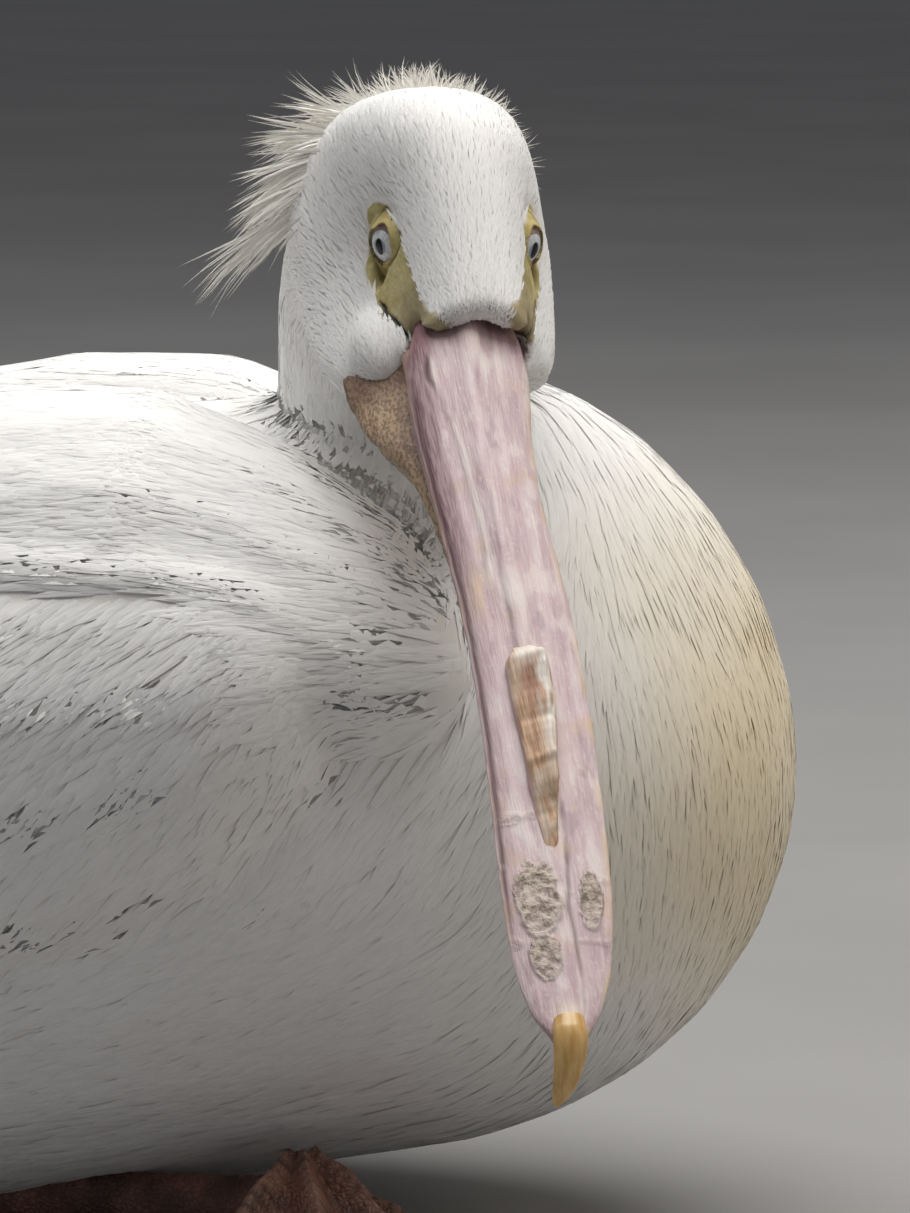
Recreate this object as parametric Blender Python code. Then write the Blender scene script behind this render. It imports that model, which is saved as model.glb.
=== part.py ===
"""Resting white pelican, life size, in metres, +Z up.

The bird faces +X and its left is +Y. The origin is on the floor, on the flat under the belly.
It sits on its belly and folded legs, with the neck drawn in and the head turned to its right, bill lowered.
Each solid is a loft: rings of points whose size and place are worked out from named sizes along an axis.
Where two solids meet, the later one is carved by a copy of the earlier one grown by GAP.
"""

import math

import bmesh
import bpy
from mathutils import Matrix, Vector

GAP = 0.0005  # clearance left between pieces that touch
FLOOR = 0.0

# Trunk, along X: the outline in side view and from above.
# The breast closes as an ellipse in front of BREAST_X.
BREAST_X = 0.200
BREAST_TIP_X = 0.332
RUMP_X = -0.265
KEEL_Z = 0.135  # height of the widest part of the breast
BREAST_RISE = 0.012  # how far that height has risen at the front of the breast
TRUNK_RINGS = 20
TRUNK_SIDES = 24
#   x       top    bottom  half width  narrowing of the top  squareness of the belly
TRUNK = (
    (RUMP_X, 0.157, 0.130, 0.026, 0.00, 2.0),
    (-0.220, 0.176, 0.096, 0.048, 0.00, 2.0),
    (-0.160, 0.211, 0.050, 0.083, 0.05, 2.2),
    (-0.070, 0.243, -0.002, 0.110, 0.09, 2.6),
    (0.010, 0.256, -0.006, 0.123, 0.12, 2.7),
    (0.070, 0.260, -0.001, 0.127, 0.15, 2.6),
    (0.150, 0.263, 0.011, 0.125, 0.26, 2.3),
    (BREAST_X, 0.274, 0.020, 0.120, 0.40, 2.05),
    (0.260, 0.284, 0.023, 0.112, 0.46, 2.0),
)
# Where the loose plumes of the neck end over the breast: the plane that parts the two, in side view.
NECK_SKIRT_Z = 0.301
NECK_SKIRT_SLOPE = -0.36

# Neck column: centres and radii from inside the breast up to the back of the head.
NECK_PATH = (
    (0.220, 0.000, 0.190),
    (0.211, 0.000, 0.235),
    (0.205, -0.004, 0.268),
    (0.205, -0.012, 0.296),
    (0.210, -0.026, 0.318),
    (0.217, -0.040, 0.330),
)
NECK_RADII = (0.058, 0.047, 0.0405, 0.0385, 0.036, 0.031)
NECK_STEPS = 2  # rings from one centre to the next
NECK_SIDES = 18

# Head: its own axes are x along the bill, y to the bird's left, z up; its origin lies between the eyes.
EYES_AT = Vector((0.233, -0.065, 0.320))
HEAD_PITCH = math.radians(35.0)
HEAD_YAW = math.radians(19.5)  # from -Y towards +X
HEAD_SIDES = 22
HEAD_RINGS = 14
#     x       top     bottom   half width  cheek    shifts to the left of all and of the throat
HEAD = (
    (-0.0740, -0.0060, -0.0160, 0.0100, 0.0000, -0.0050, 0.000),
    (-0.0700, 0.0015, -0.0270, 0.0215, 0.0020, -0.0050, -0.001),
    (-0.0580, 0.0150, -0.0390, 0.0305, 0.0090, -0.0052, -0.002),
    (-0.0460, 0.0255, -0.0445, 0.0335, 0.0115, -0.0052, -0.003),
    (-0.0330, 0.0343, -0.0470, 0.0325, 0.0140, -0.0042, -0.005),
    (-0.0190, 0.0355, -0.0488, 0.0298, 0.0165, -0.0022, -0.006),
    (-0.0080, 0.0336, -0.0495, 0.0250, 0.0205, -0.0006, -0.008),
    (0.0040, 0.0300, -0.0495, 0.0222, 0.0225, 0.0000, -0.009),
    (0.0200, 0.0240, -0.0472, 0.0198, 0.0220, 0.0000, -0.009),
    (0.0320, 0.0194, -0.0425, 0.0187, 0.0190, 0.0000, -0.009),
    (0.0410, 0.0158, -0.0350, 0.0182, 0.0130, 0.0000, -0.007),
    (0.0480, 0.0130, -0.0240, 0.0177, 0.0030, 0.0000, -0.002),
)
HEAD_MIDDLE = 0.55  # share of each section's height at which it is widest, but for the cheeks
CHEEK_ANGLE = math.radians(-42.0)
CHEEK_SPREAD = math.radians(31.0)

EYE_RADIUS = 0.0088
EYE_AT = (0.0, 0.0190, 0.0010)

# Bill, along the head's x: the upper half is a flat blade with a low ridge.
# Its sides are nearly parallel for most of its length.
BILL_START = 0.036
BILL_END = 0.334
BILL_SIDE_BEND = -0.012  # how far the tip bends to the bird's right
BILL_DROOP = -0.012
#        share of length  half width  height of the culmen  depth below the gape line
UPPER_BILL = (
    (0.00, 0.0200, 0.0120, 0.0080),
    (0.10, 0.0188, 0.0098, 0.0066),
    (0.30, 0.0160, 0.0068, 0.0050),
    (0.60, 0.0154, 0.0044, 0.0036),
    (0.80, 0.0152, 0.0034, 0.0030),
    (0.90, 0.0134, 0.0032, 0.0028),
    (0.965, 0.0090, 0.0030, 0.0026),
    (1.00, 0.0046, 0.0028, 0.0024),
)
#        share of length  half width  thickness
LOWER_BILL = (
    (0.00, 0.0196, 0.0100),
    (0.25, 0.0158, 0.0080),
    (0.60, 0.0138, 0.0058),
    (0.85, 0.0130, 0.0046),
    (0.97, 0.0068, 0.0034),
)
#        share of length  half width  depth   shift to the bird's left
POUCH = (
    (0.01, 0.0235, 0.0285, -0.0120),
    (0.10, 0.0222, 0.0270, -0.0085),
    (0.25, 0.0150, 0.0190, -0.0020),
    (0.45, 0.0110, 0.0110, 0.0000),
    (0.70, 0.0082, 0.0060, 0.0000),
    (0.82, 0.0030, 0.0026, 0.0000),
)
GAPE_Z = -0.0040  # height of the line between the bill's halves, in the head's axes
RIDGE_SPAN = (0.500, 0.780)  # stub of the shed horn, as shares of the bill's length
RIDGE_HALF_WIDTH = 0.0042
RIDGE_HEIGHT = 0.0085
NAIL_HALF_WIDTH = 0.0046
NAIL_THICKNESS = 0.0034
NAIL_START = 0.958  # share of the bill's length at which the nail begins
NAIL_LYING = 0.5  # share of the nail that lies on the bill, before it hooks over the tip
NAIL_REACH = 0.0145
NAIL_DROP = 0.0180

# Crest: a fan of pointed locks from the nape, longest on the bird's right.
# Its plane faces along the bill and up.
CREST_AT = (-0.056, 0.000, -0.005)
CREST_TILT = math.radians(42.0)
CREST_FROM = math.radians(-16.0)  # angles in the fan's plane, from the bird's left side upwards
CREST_TO = math.radians(218.0)
CREST_LOCKS = 13
CREST_SHORT = 0.033
CREST_LONG = 0.098
CREST_GROWS_FROM = 0.60  # the share of the fan where the locks begin to lengthen
CREST_ROOT_RADIUS = 0.012
CREST_SWEEP = -0.014  # how far the longest lock leans back at its tip
CREST_VALLEY = 0.28  # how far the fan's edge falls back between two locks, as a share of its reach
CREST_ROOT_HALF_THICKNESS = 0.0034
CREST_TIP_HALF_THICKNESS = 0.0004

# Wings: folded against the side. Each row gives the upper and lower edges and the outermost point.
WING_RINGS = 14
WING_SIDES = 12
#               x     upper z  lower z  reach from the middle  thickness
WING = (
    (-0.380, 0.168, 0.162, 0.026, 0.004),
    (-0.350, 0.174, 0.157, 0.036, 0.009),
    (-0.280, 0.187, 0.146, 0.058, 0.015),
    (-0.180, 0.209, 0.121, 0.090, 0.021),
    (-0.080, 0.224, 0.097, 0.124, 0.025),
    (0.020, 0.228, 0.084, 0.144, 0.027),
    (0.090, 0.228, 0.090, 0.149, 0.028),
    (0.150, 0.224, 0.116, 0.147, 0.026),
    (0.184, 0.216, 0.138, 0.138, 0.020),
    (0.200, 0.206, 0.166, 0.126, 0.012),
)
WING_CUTS = (-0.010, -0.180)  # coverts end, then the inner flight feathers, then the wing tip
WING_CUT_Z = 0.170  # the height at which the cuts are at those places
WING_CUT_LEAN = 0.8  # the cuts lean back as they go down, as the rows of feathers do

# Scapulars: the long mound of feathers over each shoulder and the top of the folded wing.
SCAPULAR_RINGS = 13
SCAPULAR_SIDES = 12
#               x     middle y  middle z  half width  half thickness
SCAPULAR = (
    (-0.190, 0.042, 0.182, 0.012, 0.008),
    (-0.140, 0.048, 0.190, 0.032, 0.018),
    (-0.080, 0.056, 0.200, 0.042, 0.024),
    (-0.010, 0.066, 0.212, 0.050, 0.030),
    (0.060, 0.074, 0.226, 0.056, 0.034),
    (0.120, 0.078, 0.231, 0.056, 0.034),
    (0.170, 0.080, 0.219, 0.052, 0.031),
    (0.210, 0.088, 0.203, 0.044, 0.026),
    (0.232, 0.096, 0.196, 0.030, 0.018),
    (0.244, 0.100, 0.190, 0.010, 0.008),
)
SCAPULAR_TILT = math.radians(38.0)

# Tail: a short rounded fan.
TAIL_START_X = -0.205
TAIL_LENGTH = 0.165
TAIL_HALF_SPREAD = math.radians(21.0)
TAIL_ROOT_HALF_WIDTH = 0.030
TAIL_THICKNESS = (0.022, 0.005)
TAIL_Z = (0.139, 0.118)
TAIL_ARCH = 0.012  # how far the middle feathers lie above the outer ones

# Legs: the shank lies under the belly and the webbed foot points forwards and out.
# The left one is set further back.
#       side   sign  toe joint x, y    hock x, y         turn of the foot outwards
LEGS = (
    ("right", -1, (0.186, 0.084), (0.074, 0.055), math.radians(64.0)),
    ("left", 1, (0.085, 0.086), (-0.022, 0.058), math.radians(50.0)),
)
SHANK_HEIGHT = 0.013
#        share of the shank, radius
SHANK = ((0.0, 0.0125), (0.2, 0.0100), (0.55, 0.0085), (0.85, 0.0110), (1.0, 0.0125), (1.08, 0.0090))
#        toe angle from the foot's axis, length
TOES = (
    (math.radians(-40.0), 0.098),
    (math.radians(-7.0), 0.112),
    (math.radians(27.0), 0.086),
    (math.radians(72.0), 0.050),
)
TOE_HEIGHT = 0.0085
TOE_HALF_WIDTH = 0.0055
WEB_THICKNESS = 0.0025
WEB_DIP = 0.20  # how far the web's edge falls back between two toes
ANKLE_HEIGHT = 0.034
CLAW_LENGTH = 0.013
CLAW_RADIUS = 0.0032
CLAW_OVERLAP = 0.002  # how far a claw's root is set back into its toe
CLAW_Z = (0.0046, 0.0008)  # heights of the claw's middle line at its root and tip

MATERIALS = {
    "plumage": ("F1EEE8", 0.85),
    "flight_feather": ("2B2624", 0.70),
    "crest_plume": ("EFE7D2", 0.85),
    "bill_horn": ("C9A7A3", 0.55),
    "bill_ridge_horn": ("B98F63", 0.65),
    "nail_horn": ("DDA03A", 0.40),
    "pouch_skin": ("C99767", 0.60),
    "eye": ("C9D2D8", 0.08),
    "foot_skin": ("A5602F", 0.55),
    "claw_horn": ("4A3A30", 0.45),
}


def clear_scene():
    for obj in list(bpy.data.objects):
        bpy.data.objects.remove(obj, do_unlink=True)


def srgb_to_linear(value):
    return value / 12.92 if value <= 0.04045 else ((value + 0.055) / 1.055) ** 2.4


def material(name):
    """A plain Principled BSDF in the part's colour and roughness, made once."""
    if name in bpy.data.materials:
        return bpy.data.materials[name]
    code, roughness = MATERIALS[name]
    colour = [srgb_to_linear(int(code[i : i + 2], 16) / 255) for i in (0, 2, 4)]
    made = bpy.data.materials.new(name)
    made.use_nodes = True
    shader = made.node_tree.nodes["Principled BSDF"]
    shader.inputs["Base Color"].default_value = (*colour, 1.0)
    shader.inputs["Roughness"].default_value = roughness
    shader.inputs["Metallic"].default_value = 0.0
    return made


def read_table(table, at):
    """The table's columns at a place along its first column, on smooth curves through the rows."""
    last = len(table) - 1
    if at <= table[0][0]:
        return table[0][1:]
    if at >= table[last][0]:
        return table[last][1:]
    row = max(i for i in range(last) if table[i][0] <= at)
    span = table[row + 1][0] - table[row][0]
    t = (at - table[row][0]) / span

    def slope(i, column):
        if i in (0, last):
            j = 0 if i == 0 else last - 1
            return (table[j + 1][column] - table[j][column]) / (table[j + 1][0] - table[j][0])
        before = (table[i][column] - table[i - 1][column]) / (table[i][0] - table[i - 1][0])
        after = (table[i + 1][column] - table[i][column]) / (table[i + 1][0] - table[i][0])
        if before * after <= 0:
            return 0.0
        return 2 * before * after / (before + after)

    values = []
    for column in range(1, len(table[0])):
        a, b = table[row][column], table[row + 1][column]
        values.append(
            a * (2 * t**3 - 3 * t**2 + 1)
            + slope(row, column) * span * (t**3 - 2 * t**2 + t)
            + b * (3 * t**2 - 2 * t**3)
            + slope(row + 1, column) * span * (t**3 - t**2)
        )
    return values


def mesh_object(name, points, faces, finish):
    mesh = bpy.data.meshes.new(name)
    mesh.from_pydata([tuple(p) for p in points], [], faces)
    made = bpy.data.objects.new(name, mesh)
    bpy.context.scene.collection.objects.link(made)
    mesh.materials.append(material(finish))
    tidy_mesh(made)
    return made


def tidy_mesh(obj):
    """Merges doubled points, turns the faces outwards and shades the mesh smooth."""
    work = bmesh.new()
    work.from_mesh(obj.data)
    bmesh.ops.remove_doubles(work, verts=work.verts, dist=1e-5)
    bmesh.ops.dissolve_degenerate(work, dist=1e-6, edges=work.edges)
    bmesh.ops.recalc_face_normals(work, faces=work.faces)
    if work.calc_volume(signed=True) < 0:
        bmesh.ops.reverse_faces(work, faces=work.faces)
    bmesh.ops.triangulate(work, faces=work.faces)
    work.to_mesh(obj.data)
    work.free()
    obj.data.shade_smooth()


def loft(name, rings, finish):
    """A closed skin through rings of equal count; a ring of one point closes an end as a cone."""
    points, faces, starts = [], [], []
    for ring in rings:
        starts.append(len(points))
        points.extend(ring)
    for i in range(len(rings) - 1):
        a, b = rings[i], rings[i + 1]
        for j in range(max(len(a), len(b))):
            k = (j + 1) % max(len(a), len(b))
            if len(a) == 1:
                faces.append((starts[i], starts[i + 1] + j, starts[i + 1] + k))
            elif len(b) == 1:
                faces.append((starts[i] + j, starts[i + 1], starts[i] + k))
            else:
                faces.append((starts[i] + j, starts[i + 1] + j, starts[i + 1] + k, starts[i] + k))
    for end in (0, len(rings) - 1):
        if len(rings[end]) > 2:
            faces.append(tuple(range(starts[end], starts[end] + len(rings[end]))))
    return mesh_object(name, points, faces, finish)


def grown_copy(obj, distance=GAP):
    """A hidden cutter: the object's mesh with each point moved out along its normal."""
    mesh = obj.data.copy()
    normals = [vertex.normal.copy() for vertex in mesh.vertices]
    for vertex, normal in zip(mesh.vertices, normals):
        vertex.co += normal * distance
    cutter = bpy.data.objects.new(obj.name + "_cutter", mesh)
    bpy.context.scene.collection.objects.link(cutter)
    cutter.hide_render = True
    cutter.display_type = "WIRE"
    return cutter


def carve(obj, *cutters):
    """Cuts the cutters out of the object one by one and keeps the largest body that is left."""
    for cutter in cutters:
        modifier = obj.modifiers.new("carve", "BOOLEAN")
        modifier.operation = "DIFFERENCE"
        modifier.solver = "EXACT"
        modifier.object = cutter
        graph = bpy.context.evaluated_depsgraph_get()
        mesh = bpy.data.meshes.new_from_object(obj.evaluated_get(graph))
        obj.modifiers.remove(modifier)
        obj.data = mesh
        tidy_mesh(obj)
    keep_largest(obj)


def keep_largest(obj):
    """Drops the crumbs that a cut leaves beside the main body."""
    work = bmesh.new()
    work.from_mesh(obj.data)
    work.verts.ensure_lookup_table()
    unseen = set(work.verts)
    bodies = []
    while unseen:
        stack = [unseen.pop()]
        body = set(stack)
        while stack:
            for edge in stack.pop().link_edges:
                for vertex in edge.verts:
                    if vertex in unseen:
                        unseen.discard(vertex)
                        body.add(vertex)
                        stack.append(vertex)
        bodies.append(body)
    bodies.sort(key=len)
    for body in bodies[:-1]:
        bmesh.ops.delete(work, geom=list(body), context="VERTS")
    work.to_mesh(obj.data)
    work.free()


def half_of(obj, name, point, direction):
    """A new object: the part of obj that lies behind the plane, closed with a flat face."""
    work = bmesh.new()
    work.from_mesh(obj.data)
    cut = bmesh.ops.bisect_plane(
        work,
        geom=work.verts[:] + work.edges[:] + work.faces[:],
        plane_co=point,
        plane_no=direction,
        clear_outer=True,
        dist=1e-6,
    )
    edges = [item for item in cut["geom_cut"] if isinstance(item, bmesh.types.BMEdge)]
    bmesh.ops.holes_fill(work, edges=[e for e in edges if e.is_boundary])
    mesh = bpy.data.meshes.new(name)
    work.to_mesh(mesh)
    work.free()
    made = bpy.data.objects.new(name, mesh)
    bpy.context.scene.collection.objects.link(made)
    mesh.materials.append(obj.data.materials[0])
    tidy_mesh(made)
    return made


def part_at(obj, name_behind, name_ahead, point, direction):
    """Splits the object by a thin cut into a piece behind the plane and one ahead of it."""
    direction = Vector(direction).normalized()
    point = Vector(point)
    behind = half_of(obj, name_behind, point - direction * GAP / 2, direction)
    ahead = half_of(obj, name_ahead, point + direction * GAP / 2, -direction)
    bpy.data.objects.remove(obj, do_unlink=True)
    return behind, ahead


def mirrored(obj, name):
    """The same piece on the bird's other side, across the plane Y = 0."""
    mesh = obj.data.copy()
    mesh.transform(Matrix.Scale(-1, 4, (0, 1, 0)))
    made = bpy.data.objects.new(name, mesh)
    bpy.context.scene.collection.objects.link(made)
    made.hide_render = obj.hide_render
    made.display_type = obj.display_type
    tidy_mesh(made)
    return made


def rounded(value, squareness):
    """A coordinate of a unit circle's point pushed out towards a square."""
    return math.copysign(abs(value) ** (2 / squareness), value)


def trunk_ring(x):
    """An egg-shaped section: its upper half narrows towards the back, its lower half can be squarer."""
    top, bottom, half_width, narrowing, squareness = read_table(TRUNK, x)
    share = max(0.0, (x - BREAST_X) / (BREAST_TIP_X - BREAST_X))
    close = math.sqrt(max(0.0, 1 - share**2))
    middle = KEEL_Z + BREAST_RISE * share
    top = middle + (top - middle) * close
    bottom = middle + (bottom - middle) * close
    half_width *= close**0.9
    middle = min(max(middle, bottom + 0.3 * (top - bottom)), top - 0.3 * (top - bottom))
    ring = []
    for j in range(TRUNK_SIDES):
        turn = 2 * math.pi * (j + 0.5) / TRUNK_SIDES
        across, up = math.cos(turn), math.sin(turn)
        if up > 0:
            height = (top - middle) * up
            across *= 1 - narrowing * up**2
        else:
            height = (middle - bottom) * rounded(up, squareness)
            across = rounded(across, squareness)
        ring.append(Vector((x, half_width * across, max(FLOOR, middle + height))))
    return ring


def make_trunk():
    body = TRUNK_RINGS * 2 // 3
    nose = TRUNK_RINGS - body
    xs = [RUMP_X + (BREAST_X - RUMP_X) * i / body for i in range(body)]
    reach = BREAST_TIP_X - BREAST_X
    xs += [BREAST_X + reach * math.sin(math.pi / 2 * i / nose) for i in range(nose)]
    rings = [trunk_ring(x) for x in xs]
    rings.append([Vector((BREAST_TIP_X, 0, KEEL_Z + BREAST_RISE))])
    return loft("trunk_whole", rings, "plumage")


def path_frame(path, i):
    """Two axes across the path at its point i; the first lies as near to the bird's side as it can."""
    before, after = path[max(i - 1, 0)], path[min(i + 1, len(path) - 1)]
    along = (Vector(after) - Vector(before)).normalized()
    side = Vector((0, 1, 0))
    side = (side - along * side.dot(along)).normalized()
    return side, along.cross(side)


def make_neck():
    keys = [(float(i), *NECK_PATH[i], NECK_RADII[i]) for i in range(len(NECK_PATH))]
    places = [i / NECK_STEPS for i in range((len(keys) - 1) * NECK_STEPS + 1)]
    lines = [read_table(keys, p) for p in places]
    path = [line[:3] for line in lines]
    rings = []
    for i, line in enumerate(lines):
        side, front = path_frame(path, i)
        rings.append(
            [
                Vector(line[:3])
                + (side * math.cos(a) + front * math.sin(a)) * line[3]
                for a in (2 * math.pi * j / NECK_SIDES for j in range(NECK_SIDES))
            ]
        )
    return loft("neck_upper", rings, "plumage")


def head_matrix():
    """The head's axes in the bird's frame."""
    level = Vector((math.sin(HEAD_YAW), -math.cos(HEAD_YAW), 0))
    forward = level * math.cos(HEAD_PITCH) - Vector((0, 0, math.sin(HEAD_PITCH)))
    left = Vector((math.cos(HEAD_YAW), math.sin(HEAD_YAW), 0))
    up = forward.cross(left)
    frame = Matrix((forward, left, up)).transposed().to_4x4()
    return Matrix.Translation(EYES_AT) @ frame


def placed_on_head(points):
    frame = head_matrix()
    return [frame @ Vector(p) for p in points]


def head_ring(x):
    """A section across the head: flattened sides, with a cheek swelling low on each."""
    top, bottom, half_width, cheek, shift, throat_shift = read_table(HEAD, x)
    middle = bottom + HEAD_MIDDLE * (top - bottom)
    ring = []
    for j in range(HEAD_SIDES):
        turn = 2 * math.pi * (j + 0.5) / HEAD_SIDES
        across, up = math.cos(turn), math.sin(turn)
        height = (top - middle) if up > 0 else (middle - bottom)
        lean = math.atan2(up, abs(across))
        swell = cheek * math.exp(-(((lean - CHEEK_ANGLE) / CHEEK_SPREAD) ** 2))
        y = math.copysign(half_width * abs(across) ** 0.85 + swell, across)
        y += shift + throat_shift * max(0.0, -up)
        ring.append((x, y, middle + height * up))
    return placed_on_head(ring)


def make_head():
    back, front = HEAD[0][0], HEAD[-1][0]
    turns = [math.pi / 2 * i / HEAD_RINGS for i in range(HEAD_RINGS + 1)]
    xs = [back + (front - back) * (1 - math.cos(turn)) for turn in turns]
    rings = [placed_on_head([(back - 0.0010, HEAD[0][5], (HEAD[0][1] + HEAD[0][2]) / 2)])]
    rings += [head_ring(x) for x in xs]
    return loft("head", rings, "plumage")


def make_eye(side, sign):
    bpy.ops.mesh.primitive_uv_sphere_add(segments=12, ring_count=8, radius=EYE_RADIUS)
    made = bpy.context.object
    made.name = f"eye_{side}"
    centre = head_matrix() @ Vector((EYE_AT[0], sign * EYE_AT[1], EYE_AT[2]))
    made.data.transform(Matrix.Translation(centre) @ Matrix.Rotation(math.pi / 2, 4, "X"))
    made.data.materials.append(material("eye"))
    made.data.shade_smooth()
    return made


def bill_point(share, y, z):
    """A point beside the bill's middle line, in the head's axes."""
    x = BILL_START + (BILL_END - BILL_START) * share
    bend = max(share, 0.0) ** 2
    return (x, y + BILL_SIDE_BEND * bend, z + BILL_DROOP * bend)


def make_upper_bill():
    """The roof is a shallow arch with a raised middle ridge; the underside is flat."""
    shares = [0, 0.06, 0.12, 0.22, 0.34, 0.46, 0.58, 0.70, 0.80, 0.87, 0.93, 0.97, 1]
    rings = []
    for share in shares:
        half_width, culmen, depth = read_table(UPPER_BILL, share)
        ring = []
        for j in range(9):
            across = -math.cos(math.pi * j / 8)
            arch = (1 - across**2) ** 0.6 * 0.72 + 0.28 * math.exp(-((across / 0.26) ** 2))
            ring.append(bill_point(share, half_width * across, GAPE_Z + culmen * arch))
        ring += [
            bill_point(share, half_width * across, GAPE_Z - depth * (1 - across**6) ** 0.5)
            for across in (0.86, 0.4, 0.0, -0.4, -0.86)
        ]
        rings.append(placed_on_head(ring))
    return loft("bill_upper", rings, "bill_horn")


def make_lower_bill():
    rings = []
    for i in range(10):
        share = -0.01 + 0.98 * i / 9
        half_width, thickness = read_table(LOWER_BILL, share)
        top = GAPE_Z - read_table(UPPER_BILL, max(share, 0))[2] * 0.3
        ring = []
        for j in range(12):
            turn = 2 * math.pi * (j + 0.5) / 12
            ring.append(
                bill_point(
                    share,
                    half_width * math.cos(turn),
                    top - thickness * 0.5 * (1 - math.sin(turn)),
                )
            )
        rings.append(placed_on_head(ring))
    return loft("bill_lower", rings, "bill_horn")


def make_pouch():
    """The folded pouch: a soft keel under the lower bill, swung at the throat towards the neck."""
    rings = []
    first, last = POUCH[0][0], POUCH[-1][0]
    for i in range(11):
        share = first + (last - first) * i / 10
        half_width, depth, shift = read_table(POUCH, share)
        thickness = read_table(LOWER_BILL, max(share, 0))[1]
        top = GAPE_Z - 0.5 * thickness
        ring = []
        for j in range(12):
            turn = 2 * math.pi * (j + 0.5) / 12
            fall = (depth + 0.5 * thickness) * (1 - math.sin(turn)) / 2
            ring.append(bill_point(share, half_width * math.cos(turn) + shift, top - fall))
        rings.append(placed_on_head(ring))
    return loft("pouch", rings, "pouch_skin")


def make_bill_ridge():
    """The worn stub of the horn: a narrow leaning ridge along the culmen."""
    first, last = RIDGE_SPAN
    rings = []
    for i in range(9):
        share = first + (last - first) * i / 8
        swell = math.sin(math.pi * (i + 0.35) / 8.7) ** 0.7
        culmen = read_table(UPPER_BILL, share)[1]
        ring = []
        for j in range(10):
            turn = 2 * math.pi * j / 10
            up = math.sin(turn)
            height = culmen * 0.6 + RIDGE_HEIGHT * swell * 0.5 * (1 + up)
            lean = 0.0020 * swell * up
            width = RIDGE_HALF_WIDTH * (0.55 + 0.45 * swell) * math.cos(turn)
            ring.append(bill_point(share, width + lean, GAPE_Z + height))
        rings.append(placed_on_head(ring))
    return loft("bill_ridge", rings, "bill_ridge_horn")


def make_nail():
    """The nail starts flat on the bill's tip and hooks down past it along a quarter of an arc."""
    rings = []
    count = 8
    for i in range(count + 1):
        t = i / count
        share = NAIL_START + (1 - NAIL_START) * min(1.0, t / NAIL_LYING)
        past = max(0.0, (t - NAIL_LYING) / (1 - NAIL_LYING))
        x, y, z = bill_point(share, 0, GAPE_Z + 0.0022)
        x += NAIL_REACH * math.sin(past * math.pi / 2.3)
        z -= NAIL_DROP * (1 - math.cos(past * math.pi / 2)) ** 0.9
        half = NAIL_HALF_WIDTH * (0.75 + 0.5 * t) * (1 - 0.92 * past**1.6)
        thick = NAIL_THICKNESS * (1 - 0.75 * past)
        lean = past * math.pi / 2.6
        ring = []
        for j in range(10):
            turn = 2 * math.pi * j / 10
            out = thick * math.sin(turn)
            side = y + half * math.cos(turn)
            ring.append((x + out * math.sin(lean), side, z + out * math.cos(lean)))
        rings.append(placed_on_head(ring))
    return loft("bill_nail", rings, "nail_horn")


def crest_point(side, up, ahead):
    """A point of the fan in the head's axes, from its place in the fan's plane and ahead of it."""
    return (
        CREST_AT[0] - up * math.sin(CREST_TILT) + ahead * math.cos(CREST_TILT),
        CREST_AT[1] + side,
        CREST_AT[2] + up * math.cos(CREST_TILT) + ahead * math.sin(CREST_TILT),
    )


def make_crest():
    """A thin fan: its reach rises and falls from lock to lock, and grows towards the bird's right."""
    columns = CREST_LOCKS * 2
    rows = 3
    over, under = [], []
    for i in range(columns + 1):
        share = i / columns
        angle = CREST_FROM + (CREST_TO - CREST_FROM) * share
        valley = abs(2 * ((share * CREST_LOCKS) % 1.0) - 1)
        grow = max(0.0, (share - CREST_GROWS_FROM) / (1 - CREST_GROWS_FROM))
        full = CREST_SHORT + (CREST_LONG - CREST_SHORT) * grow * (2 - grow) ** 0.5
        reach = full * (1 - CREST_VALLEY * valley)
        for j in range(rows + 1):
            out = j / rows
            radius = CREST_ROOT_RADIUS + (reach - CREST_ROOT_RADIUS) * out
            up = radius * math.sin(angle)
            side = radius * math.cos(angle)
            back = CREST_SWEEP * out**2 * reach / CREST_LONG
            half = CREST_ROOT_HALF_THICKNESS - CREST_TIP_HALF_THICKNESS
            half = half * (1 - out) ** 1.2 + CREST_TIP_HALF_THICKNESS
            over.append(crest_point(side, up, back + half))
            under.append(crest_point(side, up, back - half))
    faces = slab_faces(rows + 1, columns + 1)
    return mesh_object("crest", placed_on_head(over + under), faces, "crest_plume")


def slab_faces(rows, columns):
    """Faces of a closed slab whose points come as an upper grid, column by column, then a lower one."""
    total = rows * columns
    faces = []
    for i in range(columns - 1):
        for j in range(rows - 1):
            a = i * rows + j
            faces.append((a, a + 1, a + rows + 1, a + rows))
            faces.append((total + a + rows, total + a + rows + 1, total + a + 1, total + a))
    rim = [i * rows for i in range(columns)]
    rim += [(columns - 1) * rows + j for j in range(1, rows)]
    rim += [i * rows + rows - 1 for i in range(columns - 2, -1, -1)]
    rim += [j for j in range(rows - 2, 0, -1)]
    for a, b in zip(rim, rim[1:] + rim[:1]):
        faces.append((a, total + a, total + b, b))
    return faces


def rings_along(table, count, ring_of):
    """Rings at even steps along a table, closer together at both ends."""
    first, last = table[0][0], table[-1][0]
    return [
        ring_of(first + (last - first) * 0.5 * (1 - math.cos(math.pi * i / (count - 1))))
        for i in range(count)
    ]


def wing_ring(x):
    """A section of the wing: its outer face bows out from edge to edge, its inner face lies in the trunk."""
    upper, lower, reach, thickness = read_table(WING, x)
    middle, half = (upper + lower) / 2, (upper - lower) / 2
    ring = []
    for j in range(WING_SIDES):
        turn = 2 * math.pi * (j + 0.5) / WING_SIDES
        up, out = math.sin(turn), math.cos(turn)
        bow = (0.16 if up < 0 else 0.26) * half * up**2
        y = reach - bow - thickness * (1 - math.copysign(abs(out) ** 0.6, out))
        ring.append(Vector((x, -y, middle + half * up)))
    return ring


def make_wing():
    return loft("wing_whole", rings_along(WING, WING_RINGS, wing_ring), "plumage")


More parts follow.
